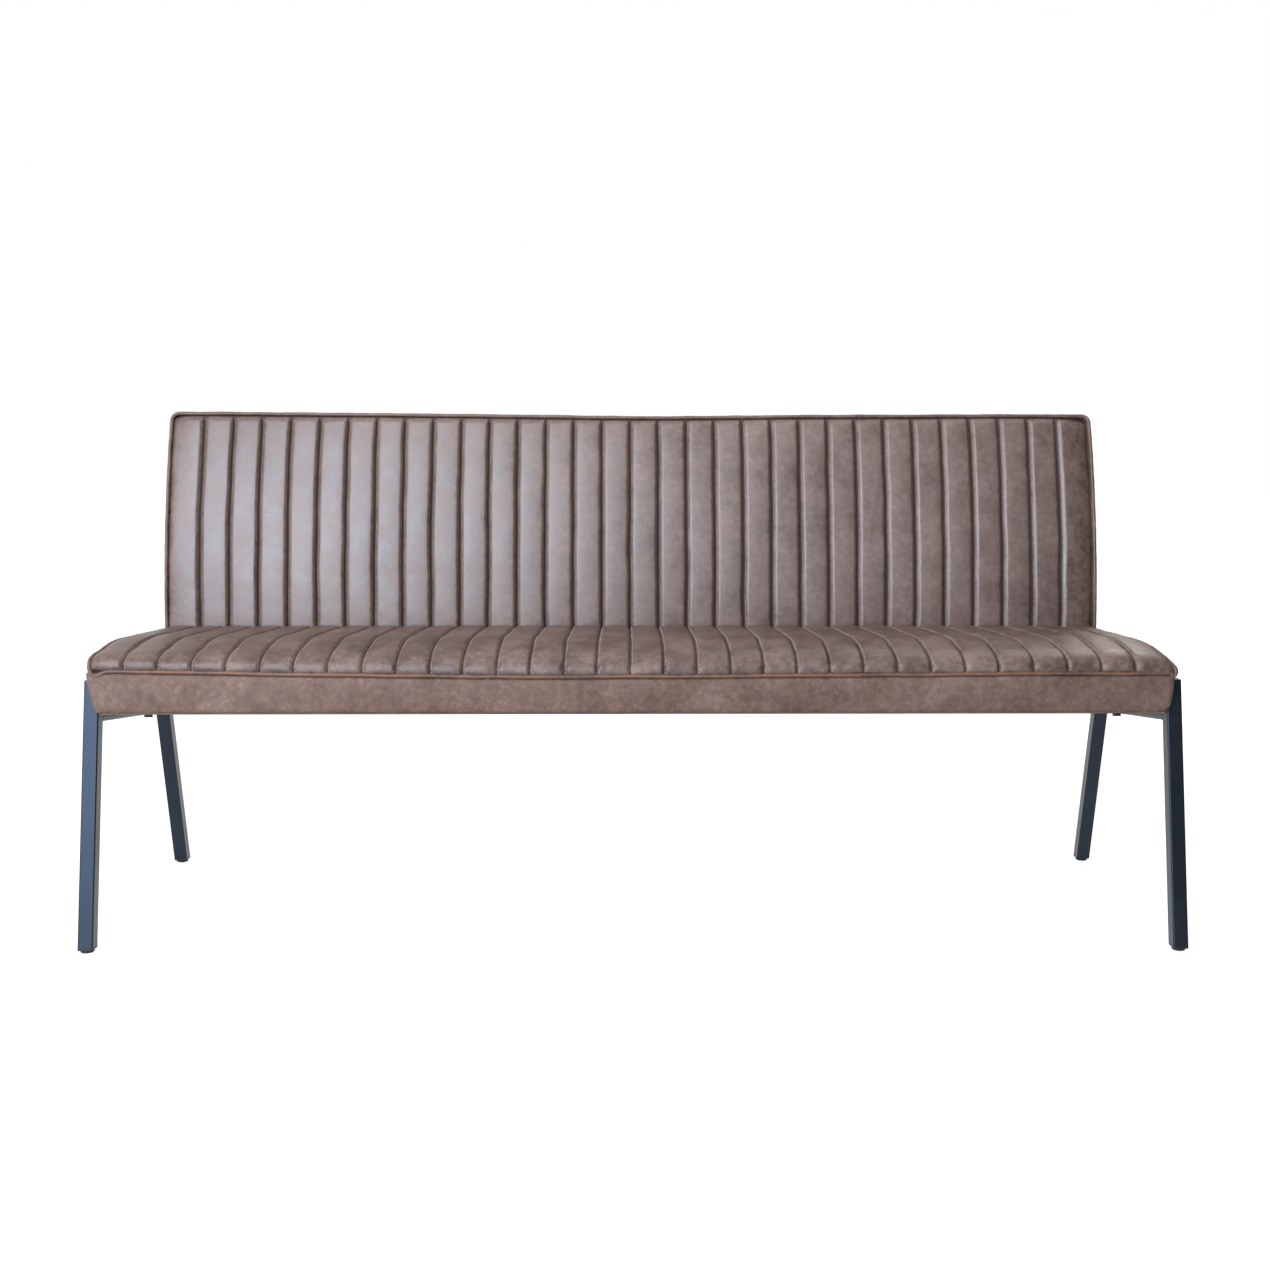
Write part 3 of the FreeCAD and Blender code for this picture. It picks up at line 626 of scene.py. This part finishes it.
backLeather = leatherFinish("back_leather", 0.3, gloss=0.95, roughness=0.42, seamShadeReach=0.55)
seatLeather = leatherFinish("seat_leather", 0.6, gloss=0.52, roughness=0.47, seamShadeReach=0.12, rubAndSheen=0.95, blotch=1.8)
bandLeather = leatherFinish("band_leather", 0.9, gloss=0.22, roughness=0.6, tint=(1.32, 1.28, 1.22))
plainLeather = leatherFinish("plain_leather", 0.5, gloss=0.5, roughness=0.48)
seatWeltLeather = leatherFinish("seat_welt_leather", 0.2, worn=0.75, gloss=0.35, roughness=0.5)
backWeltLeather = leatherFinish("back_welt_leather", 0.4, gloss=0.5)
stitchThread = threadFinish()
dustWeave = wovenFinish("dust_weave", (0.022, 0.022, 0.023), (0.008, 0.008, 0.009), 420.0, 0.95)
print("leathers and cloths made")

nodeFinishes = {
    # painted reflection: the specular tint turns the coat's reflections blue
    "frame_steel": coatFinish("powder_coat", steelLook, Specular_IOR_Level=0.44,
                              Specular_Tint=(0.68, 0.88, 1.15)),
    "foot_plastic": coatFinish("foot_plastic", plasticLook, Specular_IOR_Level=0.35),
    "timber": timberFinish("sawn_timber", (0.56, 0.40, 0.24), (0.36, 0.22, 0.11), (1.2, 9.0, 9.0)),
    "plywood": timberFinish("ply_board", (0.62, 0.47, 0.30), (0.45, 0.30, 0.17), (1.0, 30.0, 5.0)),
    "zinc_steel": zincPlate(),
    "webbing": wovenFinish("strap_weave", (0.06, 0.06, 0.065), (0.012, 0.012, 0.013), 160.0),
}
for row in frame["record"]["subparts"]:
    material = nodeFinishes.get(row["material_slot"])
    if material:
        slots = frame["nodes"][row["node"]].data.materials
        slots.clear()
        slots.append(material)
print("frame finishes set")


# Seat cushion

seatQuilt = Measures(
    rise=0.0044, sunk=0.0002, crown=0.0010, swell=0.0026,
    seamFlat=0.0004, grooveHalf=0.0070, shoulder=1.5, steep=1.35,
    crease=0.0004, creaseHalf=0.0012,
    startRoll=0.007, endRoll=0.012, edgeDrop=0.0050,
    sideRoll=0.024, sideGap=0.002, sideDrop=0.004, rightFall=0.0,
    columns=(0.0, 0.0006, 0.0014, 0.0024, 0.0036, 0.0050, 0.0066, 0.011, 0.018),  # off each seam
    rows=((0.030, 0.0022), (0.09, 0.005), (-0.014, 0.0085), (0.0, 0.003)),
    uneven=(0.0007, 0.09), softFrom=(0.004, 0.03),
    pucker=(0.0009, 0.013), puckerPlace=0.012, puckerDraw=0.3,  # over the piping
    legGap=0.009, frontGap=0.008, rearGap=0.003,  # of the underside
    fold=(0.016, 0.004),  # both ends fold in and down behind the side bands
    sharp=70,
)


def seatUnderside(y, height):
    tilt = math.radians(seatShape.tilt)
    return baseFrontZ - (y - seatFrontY) * math.tan(tilt) + height / math.cos(tilt)


# How far the seat's surface lies over its path: up at the front corners, down at the right end
def seatSettle(x, distance):
    shape = seatShape
    lift = waveAt(shape.frontWave, x) * (1 - smoothStep(distance, 0.0, shape.waveReach))
    end = nearEdge(panelHalf - x, shape.droopWidth) ** 2
    front = 1 - (1 - shape.droopRear) * smoothStep(distance, shape.droopFade, seatLength)
    return lift - shape.droop * end * front * smoothStep(distance, *shape.droopFront)


def seatSurface(x, distance):
    quilt = seatQuilt
    height, rise = quiltHeight(x, distance, seatLength - distance, quilt)
    uneven = ripple(x, distance, quilt.uneven, "seatUneven")
    swell = swellAt(seatPuff, x, distance, quilt.swell) + uneven
    height = height + swell * smoothStep(distance, *quilt.softFrom) * rise
    nose = np.exp(-((distance - quilt.puckerPlace) / quilt.puckerPlace) ** 2)
    height = height + ripple(x, distance * quilt.puckerDraw, quilt.pucker, "seatPucker") * nose
    points = onPath(seatLine, strayed(x, distance, seatShape, "seatSeams"), distance, height)
    points[..., 2] += seatSettle(x, distance)
    return points, rise


def seatCushion():
    quilt = seatQuilt
    x = channelColumns(quilt.columns)
    distance = rowSteps(seatLength, quilt.rows)
    top, rise = seatSurface(x[:, None], distance)
    front = seatFrontY + quilt.frontGap
    rear = seatRearY - quilt.rearGap
    low = [(rear, seatShape.pipingHeight)]
    low += [(y, seatUnderside(y, seatShape.foamHeight)) for y in (rear, 0.0, front)]
    squeeze = (legInner - quilt.legGap) / panelHalf
    lower = np.array([[(column * squeeze, y, z) for y, z in low] for column in x])
    points = np.concatenate([top, lower], axis=1)
    level = np.concatenate([rise, np.ones(lower.shape[:2])], axis=1)
    inward, down = quilt.fold
    points = np.concatenate([points[:1] + (inward, 0, -down), points, points[-1:] - (inward, 0, down)])
    level = np.concatenate([level[:1], level, level[-1:]])
    piece = wrapGrid("seat_cushion", points, quilt.sharp, level)
    finishPiece(piece, seatLeather, "leather", "seat_top_cover", "seat_foam", "seat_felt", "seat_rear_border")


seatCushion()


# Backrest cushion

backQuilt = Measures(
    rise=0.0050, sunk=0.0, crown=0.0008, swell=0.0012,
    seamFlat=0.0008, grooveHalf=0.0090, shoulder=1.35, steep=1.5,
    crease=0.0026, creaseHalf=0.0022,
    startRoll=0.010, endRoll=0.014, edgeDrop=0.003,
    sideRoll=0.038, sideGap=0.003, sideDrop=0.007, rightFall=0.007,
    columns=(0.0, 0.0008, 0.0018, 0.0032, 0.0048, 0.0064, 0.0080, 0.0096, 0.0114, 0.019),
    rows=(-0.022, 0.0075), topGap=0.0036, topStep=0.0018,
    uneven=(0.0006, 0.10),
    inset=0.007, turnIn=0.014, boardGap=0.001, footGap=0.004, rearRows=14,  # its rear
    leftShade=(0.030, 0.35), rightShade=(0.060, 0.60),  # width and strength of the painted shade darkening the ends
    sharp=70,
)


def backPoint(x, distance, height):
    swell = backShape.leftSwell * nearEdge(panelHalf + x, backShape.swellWidth)
    points = onPath(backLine, x - swell, distance, height)
    share = np.clip(distance / backLength, 0, backShape.waveMost)
    points[..., 2] += waveAt(backShape.topWave, x) * share ** 2
    return points


def backSurface(x, distance):
    quilt = backQuilt
    height, rise = quiltHeight(x, distance - backStart, backLength - quilt.topGap - distance, quilt)
    uneven = ripple(x, distance, quilt.uneven, "backUneven")
    swell = swellAt(backPuff, x, distance, quilt.swell) + uneven
    height = height + swell * rise
    return backPoint(strayed(x, distance, backShape, "backSeams"), distance, height), rise


def backCushion():
    quilt = backQuilt
    x = channelColumns(quilt.columns)
    distance = rowSteps(backLength - backStart, [quilt.rows, (-quilt.topGap, quilt.topStep)])
    front, rise = backSurface(x[:, None], (backStart + distance))
    depth = backShape.boardDepth - quilt.boardGap
    top = backLength - quilt.inset
    returns = [(top, -quilt.turnIn)]
    returns += [(step, -depth) for step in np.linspace(top, backStart + quilt.footGap, quilt.rearRows)]
    distances, heights = np.array(returns).T
    squeeze = (panelHalf - quilt.inset) / panelHalf
    behind = backPoint((x * squeeze)[:, None], distances, heights)
    points = np.concatenate([front, behind], axis=1)
    # painted shade: the rise is lowered towards both ends, which darkens the leather there
    clean = 1.0
    for side, (width, strength) in ((-1, quilt.leftShade), (1, quilt.rightShade)):
        clean = clean - strength * nearEdge(panelHalf - side * x, width)
    level = np.concatenate([rise * clean[:, None], np.ones(behind.shape[:2])], axis=1)
    piece = wrapGrid("back_cushion", points, quilt.sharp, level)
    finishPiece(piece, backLeather, "leather", "back_front_cover", "back_foam")


backCushion()


# Plain bands round the seat

bandSharp = 60  # angle in degrees past which the plain pieces have a crease

frontBand = Measures(
    leftHalf=(0.8805, 0.8915), rightHalf=(0.8810, 0.8836), slant=0.8,  # lower, upper edge
    leftCorner=0.009, rightCorner=0.019, thickness=0.0055, lift=0.0012, topGap=0.0034,
    bulge=0.0022, bulgeForm=0.8, edgeRadius=0.005, upperEdge=0.08, lowerEdge=0.09,
    endRoll=0.010, endDrop=0.004,
    tuck=0.006, rearGap=0.002, rearSpan=(0.96, 0.06),
    uneven=(0.0007, 0.12), evenFrom=0.95,  # the lower edge is even
    columns=361, crowding=1.25, rows=22, rearRows=6,
)


def seatFrontBand():
    band = frontBand
    x = np.linspace(-1, 1, band.columns)
    x = np.sign(x) * (1 - (1 - np.abs(x)) ** band.crowding)  # closer together near the ends
    face = np.linspace(0, 1, band.rows)  # 0 at the upper edge, 1 at the lower
    edges = nearEdge(face, band.upperEdge) ** 2 + nearEdge(1 - face, band.lowerEdge) ** 2
    depth = band.edgeRadius * edges - band.bulge * np.sin(math.pi * face) ** band.bulgeForm
    share = np.concatenate([face, [1.0, 1.0], np.linspace(*band.rearSpan, band.rearRows)])
    rear = np.full(band.rearRows + 1, band.thickness + band.rearGap)
    inward = np.concatenate([depth, [band.tuck], rear])
    halves = (band.leftHalf, band.rightHalf)
    left, right = (low + (high - low) * (1 - share) ** band.slant for low, high in halves)
    half = np.where(x[:, None] < 0, left, right)
    across = x[:, None] * half
    toEnd = half - np.abs(across)
    top = seatShape.pipingHeight + waveAt(seatShape.frontWave, across) - band.topGap
    corner = np.where(x < 0, band.leftCorner, band.rightCorner)[:, None]
    lift = corner - np.sqrt(corner ** 2 - (corner - np.clip(toEnd, 0, corner)) ** 2)
    low = baseFrontZ + band.lift + lift
    z = top + (low - top) * share
    roll = nearEdge(toEnd, band.endRoll) ** 2 * (inward < band.thickness)
    y = seatFrontY + inward + band.endDrop * roll
    y = y + ripple(across, z, band.uneven, "frontBand") * (share < band.evenFrom)
    piece = wrapGrid("seat_front_band", np.stack([across, y, z], axis=-1), bandSharp)
    finishPiece(piece, bandLeather, "leather", "seat_front_border")


seatFrontBand()

sideBand = Measures(
    thickness=0.005, clearance=0.0005, topGap=0.005, frontGap=0.0075,
    flare=0.0085, flareFrom=0.435, flareHeight=0.016,  # over the legs, out to the piping
    startGap=0.006, endGap=0.001, columns=120, rows=26, rearRows=12,
    tongue=0.0012, tongueStep=0.0004, tongueDrop=0.0015, tongueColumns=4,  # under the back
    uneven=(0.0006, 0.09),
)


def seatSideBand(side, name, node):
    band = sideBand
    distance = np.linspace(band.startGap, seatLength - band.endGap, band.columns)
    edge = onPath(seatLine, 0.0, distance, -band.topGap)
    y = np.maximum(edge[:, 1], seatFrontY + band.frontGap)
    top = edge[:, 2] + seatSettle(side * panelHalf, distance)
    tip = backShape.frontY + band.tongue
    tongue = np.linspace(y[-1] + band.tongueStep, tip, band.tongueColumns)
    y = np.concatenate([y, tongue])
    top = np.concatenate([top, np.full(len(tongue), backShape.bendHeight - band.tongueDrop)])
    low = seatUnderside(y, 0.0)
    share = np.concatenate([np.linspace(0, 1, band.rows), np.linspace(1, 0, band.rearRows)])
    inside = np.arange(len(share)) >= band.rows
    z = top[:, None] + (low - top)[:, None] * share
    flared = smoothStep(z, band.flareFrom, band.flareFrom + band.flareHeight)
    out = legInner - band.clearance + band.flare * flared
    x = np.where(inside, out - band.thickness, out)
    dents = band.uneven[0] + ripple(y[:, None], z, band.uneven, "sideBand")
    x = x - dents * ~inside
    points = np.stack(np.broadcast_arrays(side * x, y[:, None], z), axis=-1)
    piece = wrapGrid(name, points, bandSharp)
    finishPiece(piece, plainLeather, "leather", node)


seatSideBand(-1, "seat_left_band", "seat_left_border")
seatSideBand(1, "seat_right_band", "seat_right_border")


# Rear of the backrest: a plain panel, and a boxing strip up the sides and over the top

rearPanel = Measures(
    thickness=0.011, edgeRoll=0.012, drop=0.005, inset=0.001,
    sag=(0.0016, 0.35), uneven=(0.0008, 0.09), unevenDraw=0.6,
    columns=181, crowding=0.35, rows=((0.02, 0.003), (-0.02, 0.009), (-0.001, 0.003)),
    innerTop=0.004, innerFoot=0.003, innerRows=10, innerSqueeze=0.994,
)


def backRearPanel():
    panel = rearPanel
    half = panelHalf - panel.inset
    spread = np.linspace(-1, 1, panel.columns)
    crowded = np.sin(spread * math.pi / 2)
    x = half * crowded * panel.crowding + half * spread * (1 - panel.crowding)
    distance = rowSteps(backLength, panel.rows)
    toSide = nearEdge(half - np.abs(x), panel.edgeRoll)[:, None]
    fromTop = nearEdge(backLength - panel.inset - distance, panel.edgeRoll)
    toEnd = np.maximum(nearEdge(distance, panel.edgeRoll), fromTop)
    near = np.clip(np.hypot(toSide, toEnd), 0, 1)
    broad = ripple(x[:, None], distance, panel.sag, "panelSag") - panel.sag[0]
    close = ripple(x[:, None], distance * panel.unevenDraw, panel.uneven, "panelUneven")
    out = (broad + close) * (1 - near) - panel.drop * roundOver(near)
    outer = backPoint(x[:, None], distance, -backShape.thickness - out)
    down = np.linspace(backLength - panel.innerTop, panel.innerFoot, panel.innerRows)
    inside = panel.thickness - backShape.thickness
    inner = backPoint(x[:, None] * panel.innerSqueeze, down, inside)
    piece = wrapGrid("back_rear_panel", np.concatenate([outer, inner], axis=1), bandSharp)
    finishPiece(piece, plainLeather, "leather", "back_rear_cover", "back_rear_wadding")


backRearPanel()

outline = Measures(foot=0.001, cornerSteps=9, topSteps=220)


# Up one side of the backrest, round the corner, over the top and down the other side
def backOutline(inset, step):
    half = panelHalf - inset
    radius = backShape.cornerRadius
    top = backLength - inset
    rise = np.arange(outline.foot, top - radius, step)
    turn = np.linspace(0, math.pi / 2, outline.cornerSteps)
    across = np.linspace(-half + radius, half - radius, outline.topSteps)[1:-1]
    left = [(-half, s) for s in rise]
    left += [(-half + radius - radius * math.cos(a), top - radius + radius * math.sin(a)) for a in turn]
    right = [(-x, s) for x, s in reversed(left)]
    return np.array(left + [(x, top) for x in across] + right)


def headings(line):
    ahead = np.gradient(line, axis=0)
    return ahead / np.linalg.norm(ahead, axis=1, keepdims=True)


boxing = Measures(
    thickness=0.006, front=0.0018, rear=0.0605, bulge=0.0016, spread=0.0030,
    edge=0.06, edgeDrop=0.002, step=0.008, rows=16, innerSkip=3,
)


def backBoxing():
    strip = boxing
    line = backOutline(-strip.spread, strip.step)
    ahead = headings(line)
    outward = np.stack([-ahead[:, 1], ahead[:, 0]], axis=1)  # left of the way up, so outwards all round
    depth = np.linspace(strip.front, strip.rear, strip.rows)
    inner = depth[::-strip.innerSkip]
    share = (depth - depth[0]) / (depth[-1] - depth[0])
    edges = nearEdge(share, strip.edge) + nearEdge(1 - share, strip.edge)
    out = strip.bulge * np.sin(math.pi * share) - strip.edgeDrop * edges
    depths = np.concatenate([depth, inner])
    outs = np.concatenate([out - strip.bulge, np.full(len(inner), -strip.thickness)])
    x = line[:, 0][:, None] + outward[:, 0][:, None] * outs
    distance = line[:, 1][:, None] + outward[:, 1][:, None] * outs
    piece = wrapGrid("back_boxing", backPoint(x, distance, -depths), bandSharp)
    finishPiece(piece, plainLeather, "leather", "back_left_border", "back_right_border", "back_top_border")


backBoxing()


# Piping

welt = Measures(
    radius=0.0034, sides=12, step=0.0045, inset=0.001, sharp=70,
    uneven=(0.08, 0.03), unevenDraw=4,
    rearGap=0.002, sideSteps=160, frontSteps=320, cornerSteps=8,
    rightTuck=(-0.003, 0, -0.001), tuckReach=0.04,
    frontDepth=(0.0006, 0.11), frontHeight=(0.0007, 0.13),
    backStep=0.006, backWander=(0.0006, 0.1),
    upright=0.9,  # a start as steep as this takes its side from y
)


def evenLine(points, step):
    gaps = np.linalg.norm(np.diff(points, axis=0), axis=1)
    run = np.concatenate([[0], np.cumsum(gaps)])
    marks = np.linspace(0, run[-1], int(run[-1] / step) + 1)
    return np.stack([np.interp(marks, run, points[:, axis]) for axis in range(3)], axis=1)


def weltTube(name, points):
    line = evenLine(points, welt.step)
    ahead = headings(line)
    side = np.empty_like(line)
    steep = abs(ahead[0][2]) >= welt.upright
    last = np.cross(ahead[0], (0.0, 1.0, 0.0) if steep else (0.0, 0.0, 1.0))
    for number, heading in enumerate(ahead):
        last = last - heading * np.dot(last, heading)
        last = last / np.linalg.norm(last)
        side[number] = last
    other = np.cross(ahead, side)
    turn = np.linspace(0, math.tau, welt.sides, endpoint=False)
    run = np.arange(len(line)) * welt.step
    around = turn * welt.radius * welt.unevenDraw
    size = welt.radius * (1 + ripple(run[:, None], around, welt.uneven, "welt"))
    ring = np.cos(turn)[:, None] * side[:, None] + np.sin(turn)[:, None] * other[:, None]
    return wrapGrid(name, line[:, None] + ring * size[..., None], welt.sharp)


# The piping's ends meet in the left front corner and dip there
seatKnot = Measures(x=-0.874, reach=0.010, depth=0.004, dip=0.009)


def seatWelt():
    up = np.array([0, 0, 1])
    mirror = np.array([-1, 1, 1])
    radius = seatShape.frontRise  # of the corners
    along = np.linspace(seatLength - welt.rearGap, radius, welt.sideSteps)
    sideLine = onPath(seatLine, -panelHalf, along, -welt.inset)
    left = sideLine + seatSettle(-panelHalf, along)[:, None] * up
    right = (sideLine * mirror + seatSettle(panelHalf, along)[:, None] * up)[::-1]
    tucked = smoothStep(along[::-1], radius, radius + welt.tuckReach)
    right += tucked[:, None] * np.array(welt.rightTuck)
    leftLift = (left[-1] - sideLine[-1])[2]
    rightLift = (right[0] - sideLine[-1])[2]
    x = np.linspace(-panelHalf + radius, panelHalf - radius, welt.frontSteps)
    frontY = seatFrontY + welt.inset
    y = frontY - ripple(x, 0.0, welt.frontDepth, "frontWeltDepth")
    z = seatShape.pipingHeight + waveAt(seatShape.frontWave, x)
    z = z + ripple(x, 0.0, welt.frontHeight, "frontWeltHeight")
    turn = np.linspace(0, math.pi / 2, welt.cornerSteps)[1:-1]
    cornerX = -panelHalf + radius - radius * np.cos(turn)
    cornerZ = seatShape.pipingHeight + leftLift + radius - radius * np.sin(turn)
    corner = np.stack([cornerX, np.full_like(turn, frontY), cornerZ], axis=1)
    otherCorner = corner[::-1] * mirror + up * (rightLift - leftLift)
    line = np.concatenate([left, corner, np.stack([x, y, z], axis=1), otherCorner, right])
    atFront = line[:, 1] < seatFrontY + seatKnot.depth
    knot = np.exp(-((line[:, 0] - seatKnot.x) / seatKnot.reach) ** 2) * atFront
    line[:, 2] -= seatKnot.dip * knot
    finishPiece(weltTube("seat_welt", line), seatWeltLeather, "piping_leather", "seat_piping")


def backWelt():
    x, distance = backOutline(0.0, welt.backStep).T
    above = distance > backStart
    x, distance = x[above], distance[above]
    distance = distance + ripple(x, distance, welt.backWander, "backWelt")
    line = backPoint(x, distance, -welt.inset)
    finishPiece(weltTube("back_welt", line), backWeltLeather, "piping_leather", "back_piping")


seatWelt()
backWelt()


# Stitches along the right wall of every groove

stitch = Measures(
    pitch=0.0060, length=0.0034, radius=0.0008, aside=0.0036,
    segments=6, rings=4, probe=0.0005,
    backGaps=(0.05, 0.010), seatGaps=(0.006, 0.012),  # left free at the start and the end of a seam
)


def stitches(name, surface, start, end):
    counts = {"segments": stitch.segments, "ring_count": stitch.rings}
    single = addObject(bpy.ops.mesh.primitive_uv_sphere_add, "stitch", radius=1, **counts)
    shape = np.array([vertex.co for vertex in single.data.vertices])
    faces = [list(face.vertices) for face in single.data.polygons]
    bpy.data.objects.remove(single)
    shape = shape * (stitch.radius, stitch.radius, stitch.length / 2)
    marks = np.arange(start, end, stitch.pitch)
    blocks = []
    for number in range(-lastSeam, lastSeam + 1):
        x = np.full_like(marks, number * channelPitch + stitch.aside)
        middle = surface(x, marks)[0]
        ahead = surface(x, marks + stitch.probe)[0] - middle
        ahead /= np.linalg.norm(ahead, axis=1, keepdims=True)
        up = np.cross(ahead, np.array([1.0, 0.0, 0.0]))
        up /= np.linalg.norm(up, axis=1, keepdims=True)
        across = np.cross(ahead, up)
        for place, *axes in zip(middle, across, up, ahead):
            blocks.append(place + shape @ np.array(axes))
    starts = range(0, len(blocks) * len(shape), len(shape))
    allFaces = [[corner + start for corner in face] for start in starts for face in faces]
    mesh = bpy.data.meshes.new(name)
    mesh.from_pydata(np.concatenate(blocks).tolist(), [], allFaces)
    piece = bpy.data.objects.new(name, mesh)
    bpy.context.scene.collection.objects.link(piece)
    mesh.shade_smooth()
    piece.data.materials.append(stitchThread)
    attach(piece, body)
    print("piece", name, len(blocks), "stitches")


backFree, backTopFree = stitch.backGaps
seatFree, seatRearFree = stitch.seatGaps
stitches("back_stitches", backSurface, backStart + backFree, backLength - backTopFree)
stitches("seat_stitches", seatSurface, seatFree, seatLength - seatRearFree)


# Dust cloth under the seat

dustCloth = Measures(
    thickness=0.0006, inset=0.002, gap=0.0004,
    sag=0.0025, sagForm=0.5, uneven=(0.2, 0.2), columns=121, rows=40,
)


def sagAcross(steps):
    return np.sin(math.pi * (steps - steps[0]) / (steps[-1] - steps[0])) ** dustCloth.sagForm


def dustSheet():
    cloth = dustCloth
    low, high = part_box("seat_dust_cover")
    x = np.linspace(low.x + cloth.inset, high.x - cloth.inset, cloth.columns)
    y = np.linspace(low.y + cloth.inset, high.y - cloth.inset, cloth.rows)
    span = sagAcross(x)[:, None] * sagAcross(y)
    uneven = 1 - cloth.uneven[0] + ripple(x[:, None], y, cloth.uneven, "dustCloth")
    z = seatUnderside(y, cloth.gap) - cloth.sag * span * uneven
    face = np.stack(np.broadcast_arrays(x[:, None], y, z), axis=-1)
    upper = face[:, ::-1] + np.array([0, 0, cloth.thickness])
    piece = wrapGrid("dust_cloth", np.concatenate([face, upper], axis=1), bandSharp)
    finishPiece(piece, dustWeave, "dust_cloth", "seat_dust_cover")


dustSheet()


# Stage, light and camera

lamps = {
    "key": {"place": (-1.35, -3.5, 2.12), "size": (1.35, 3.75), "watts": 172.0, "colour": (0.70, 0.83, 1.0)},
    "side_window": {"place": (-3.3, -3.0, 2.0), "size": (1.8, 1.7), "watts": 85.0, "colour": (0.8, 0.88, 1)},
    "overhead": {"place": (0.05, -0.45, 2.2), "size": (2.0, 1.3), "watts": 10.0, "colour": (1.0, 0.90, 0.80)},
    "rear_fill": {"place": (1.2, 3.2, 2.2), "size": (2.5, 2.0), "watts": 95.0, "colour": (1.0, 0.96, 0.92)},
}
lampAim = Vector((0.0, 0.0, 0.55))

# Dark cloths to the right: one shades the bench, the others only show in reflections
screens = {
    "side_screen": {"place": (2.0, -1.4, 1.5), "turn": (0, 90, 0), "size": (3.0, 5.2), "shades": True},
    "high_screen": {"place": (1.4, -2.0, 2.8), "turn": (90, 0, 0), "size": (3.4, 1.4), "shades": False},
    "rear_screen": {"place": (1.75, 1.4, 0.65), "turn": (90, 0, 0), "size": (1.6, 1.3), "shades": False},
}
screenCloth = Measures(cloth=(0.03, 0.03, 0.03), folds=(0.02, 0.02, 0.02))

studio = Measures(
    floorSize=40, paper=(0.44, 0.44, 0.44), fibres=(0.47, 0.47, 0.47),
    nearGlow=(0.86, 0.86, 0.86), farGlow=(1.0, 1.0, 1.0), glowReach=(1.4, 3.6),
    background=(1, 1, 1), ambient=0.07,
)

photoCamera = Measures(
    imageSize=1270, focalPixels=1530.0, sensor=36.0, middleColumn=636.55, clipEnd=200,
    place=(-0.013, -2.7233, 0.825), pitch=7.29, turn=0.397,
)


def areaLight(name, place, size, watts, colour):
    lamp = addObject(bpy.ops.object.light_add, name, type="AREA", location=place)
    lamp.data.shape = "RECTANGLE"
    lamp.data.size, lamp.data.size_y = size
    lamp.data.energy = watts
    lamp.data.color = colour
    lamp.visible_camera = False
    lamp.rotation_euler = (lampAim - Vector(place)).to_track_quat("-Z", "Y").to_euler()


# White paper that keeps the shadow: it glows, to pure white further off, for rays that show the background
def whiteFloor():
    floor = addObject(bpy.ops.mesh.primitive_plane_add, "floor", size=studio.floorSize, location=(0, 0, 0))
    paper = Finish("paper_floor", Roughness=0.9, Specular_IOR_Level=0.1)
    fibres = paper.noise(60.0, 3.0, 0.6)
    paper.paint(Base_Color=paper.mix(paper.between(fibres, 0.3, 0.7), studio.paper, studio.fibres))
    away = paper.node("VectorMath", {"operation": "LENGTH"}, {0: paper.place}, "Value")
    white = paper.mix(paper.between(away, *studio.glowReach), studio.nearGlow, studio.farGlow)
    glow = paper.node("Emission", None, {"Color": white})
    lit = Wire(paper, paper.shader.outputs[0])
    both = paper.node("AddShader", None, {0: lit, 1: glow})
    surface = paper.node("MixShader", None, {0: paper.clearRays(), 1: lit, 2: both})
    paper.join(surface, paper.tree.nodes["Material Output"].inputs["Surface"])
    floor.data.materials.append(paper.material)


# A dark screen that the camera doesn't see
def shadeScreen(name, place, turn, size, shades):
    angles = [math.radians(angle) for angle in turn]
    screen = addObject(bpy.ops.mesh.primitive_plane_add, name, size=1, location=place, rotation=angles)
    screen.scale = (*size, 1)
    cloth = Finish(name + "_cloth", Specular_IOR_Level=0.0)
    folds = cloth.noise(8.0, 2.0, 0.55)
    base = cloth.mix(folds, screenCloth.cloth, screenCloth.folds)
    screen.data.materials.append(cloth.paint(Base_Color=base))
    screen.visible_camera = False
    screen.visible_diffuse = screen.visible_shadow = shades


def whiteWorld():
    world = bpy.data.worlds.new("studio")
    bpy.context.scene.world = world
    world.use_nodes = True
    air = Nodes(world.node_tree)
    background = air.tree.nodes["Background"]
    air.join(studio.background, background.inputs["Color"])
    strength = studio.ambient + air.clearRays() * (1 - studio.ambient)
    air.join(strength, background.inputs["Strength"])


def photoView():
    view = photoCamera
    angles = (math.radians(90 - view.pitch), 0, -math.radians(view.turn))
    camera = addObject(bpy.ops.object.camera_add, "Camera", location=view.place, rotation=angles)
    camera.data.sensor_width = view.sensor
    camera.data.lens = view.focalPixels / view.imageSize * view.sensor
    camera.data.shift_x = 0.5 - view.middleColumn / view.imageSize
    camera.data.clip_end = view.clipEnd
    bpy.context.scene.camera = camera


for name, lamp in lamps.items():
    areaLight(name, **lamp)
whiteFloor()
for name, screen in screens.items():
    shadeScreen(name, **screen)
whiteWorld()
photoView()
bpy.context.scene.view_settings.view_transform = "Standard"
print("stage set")
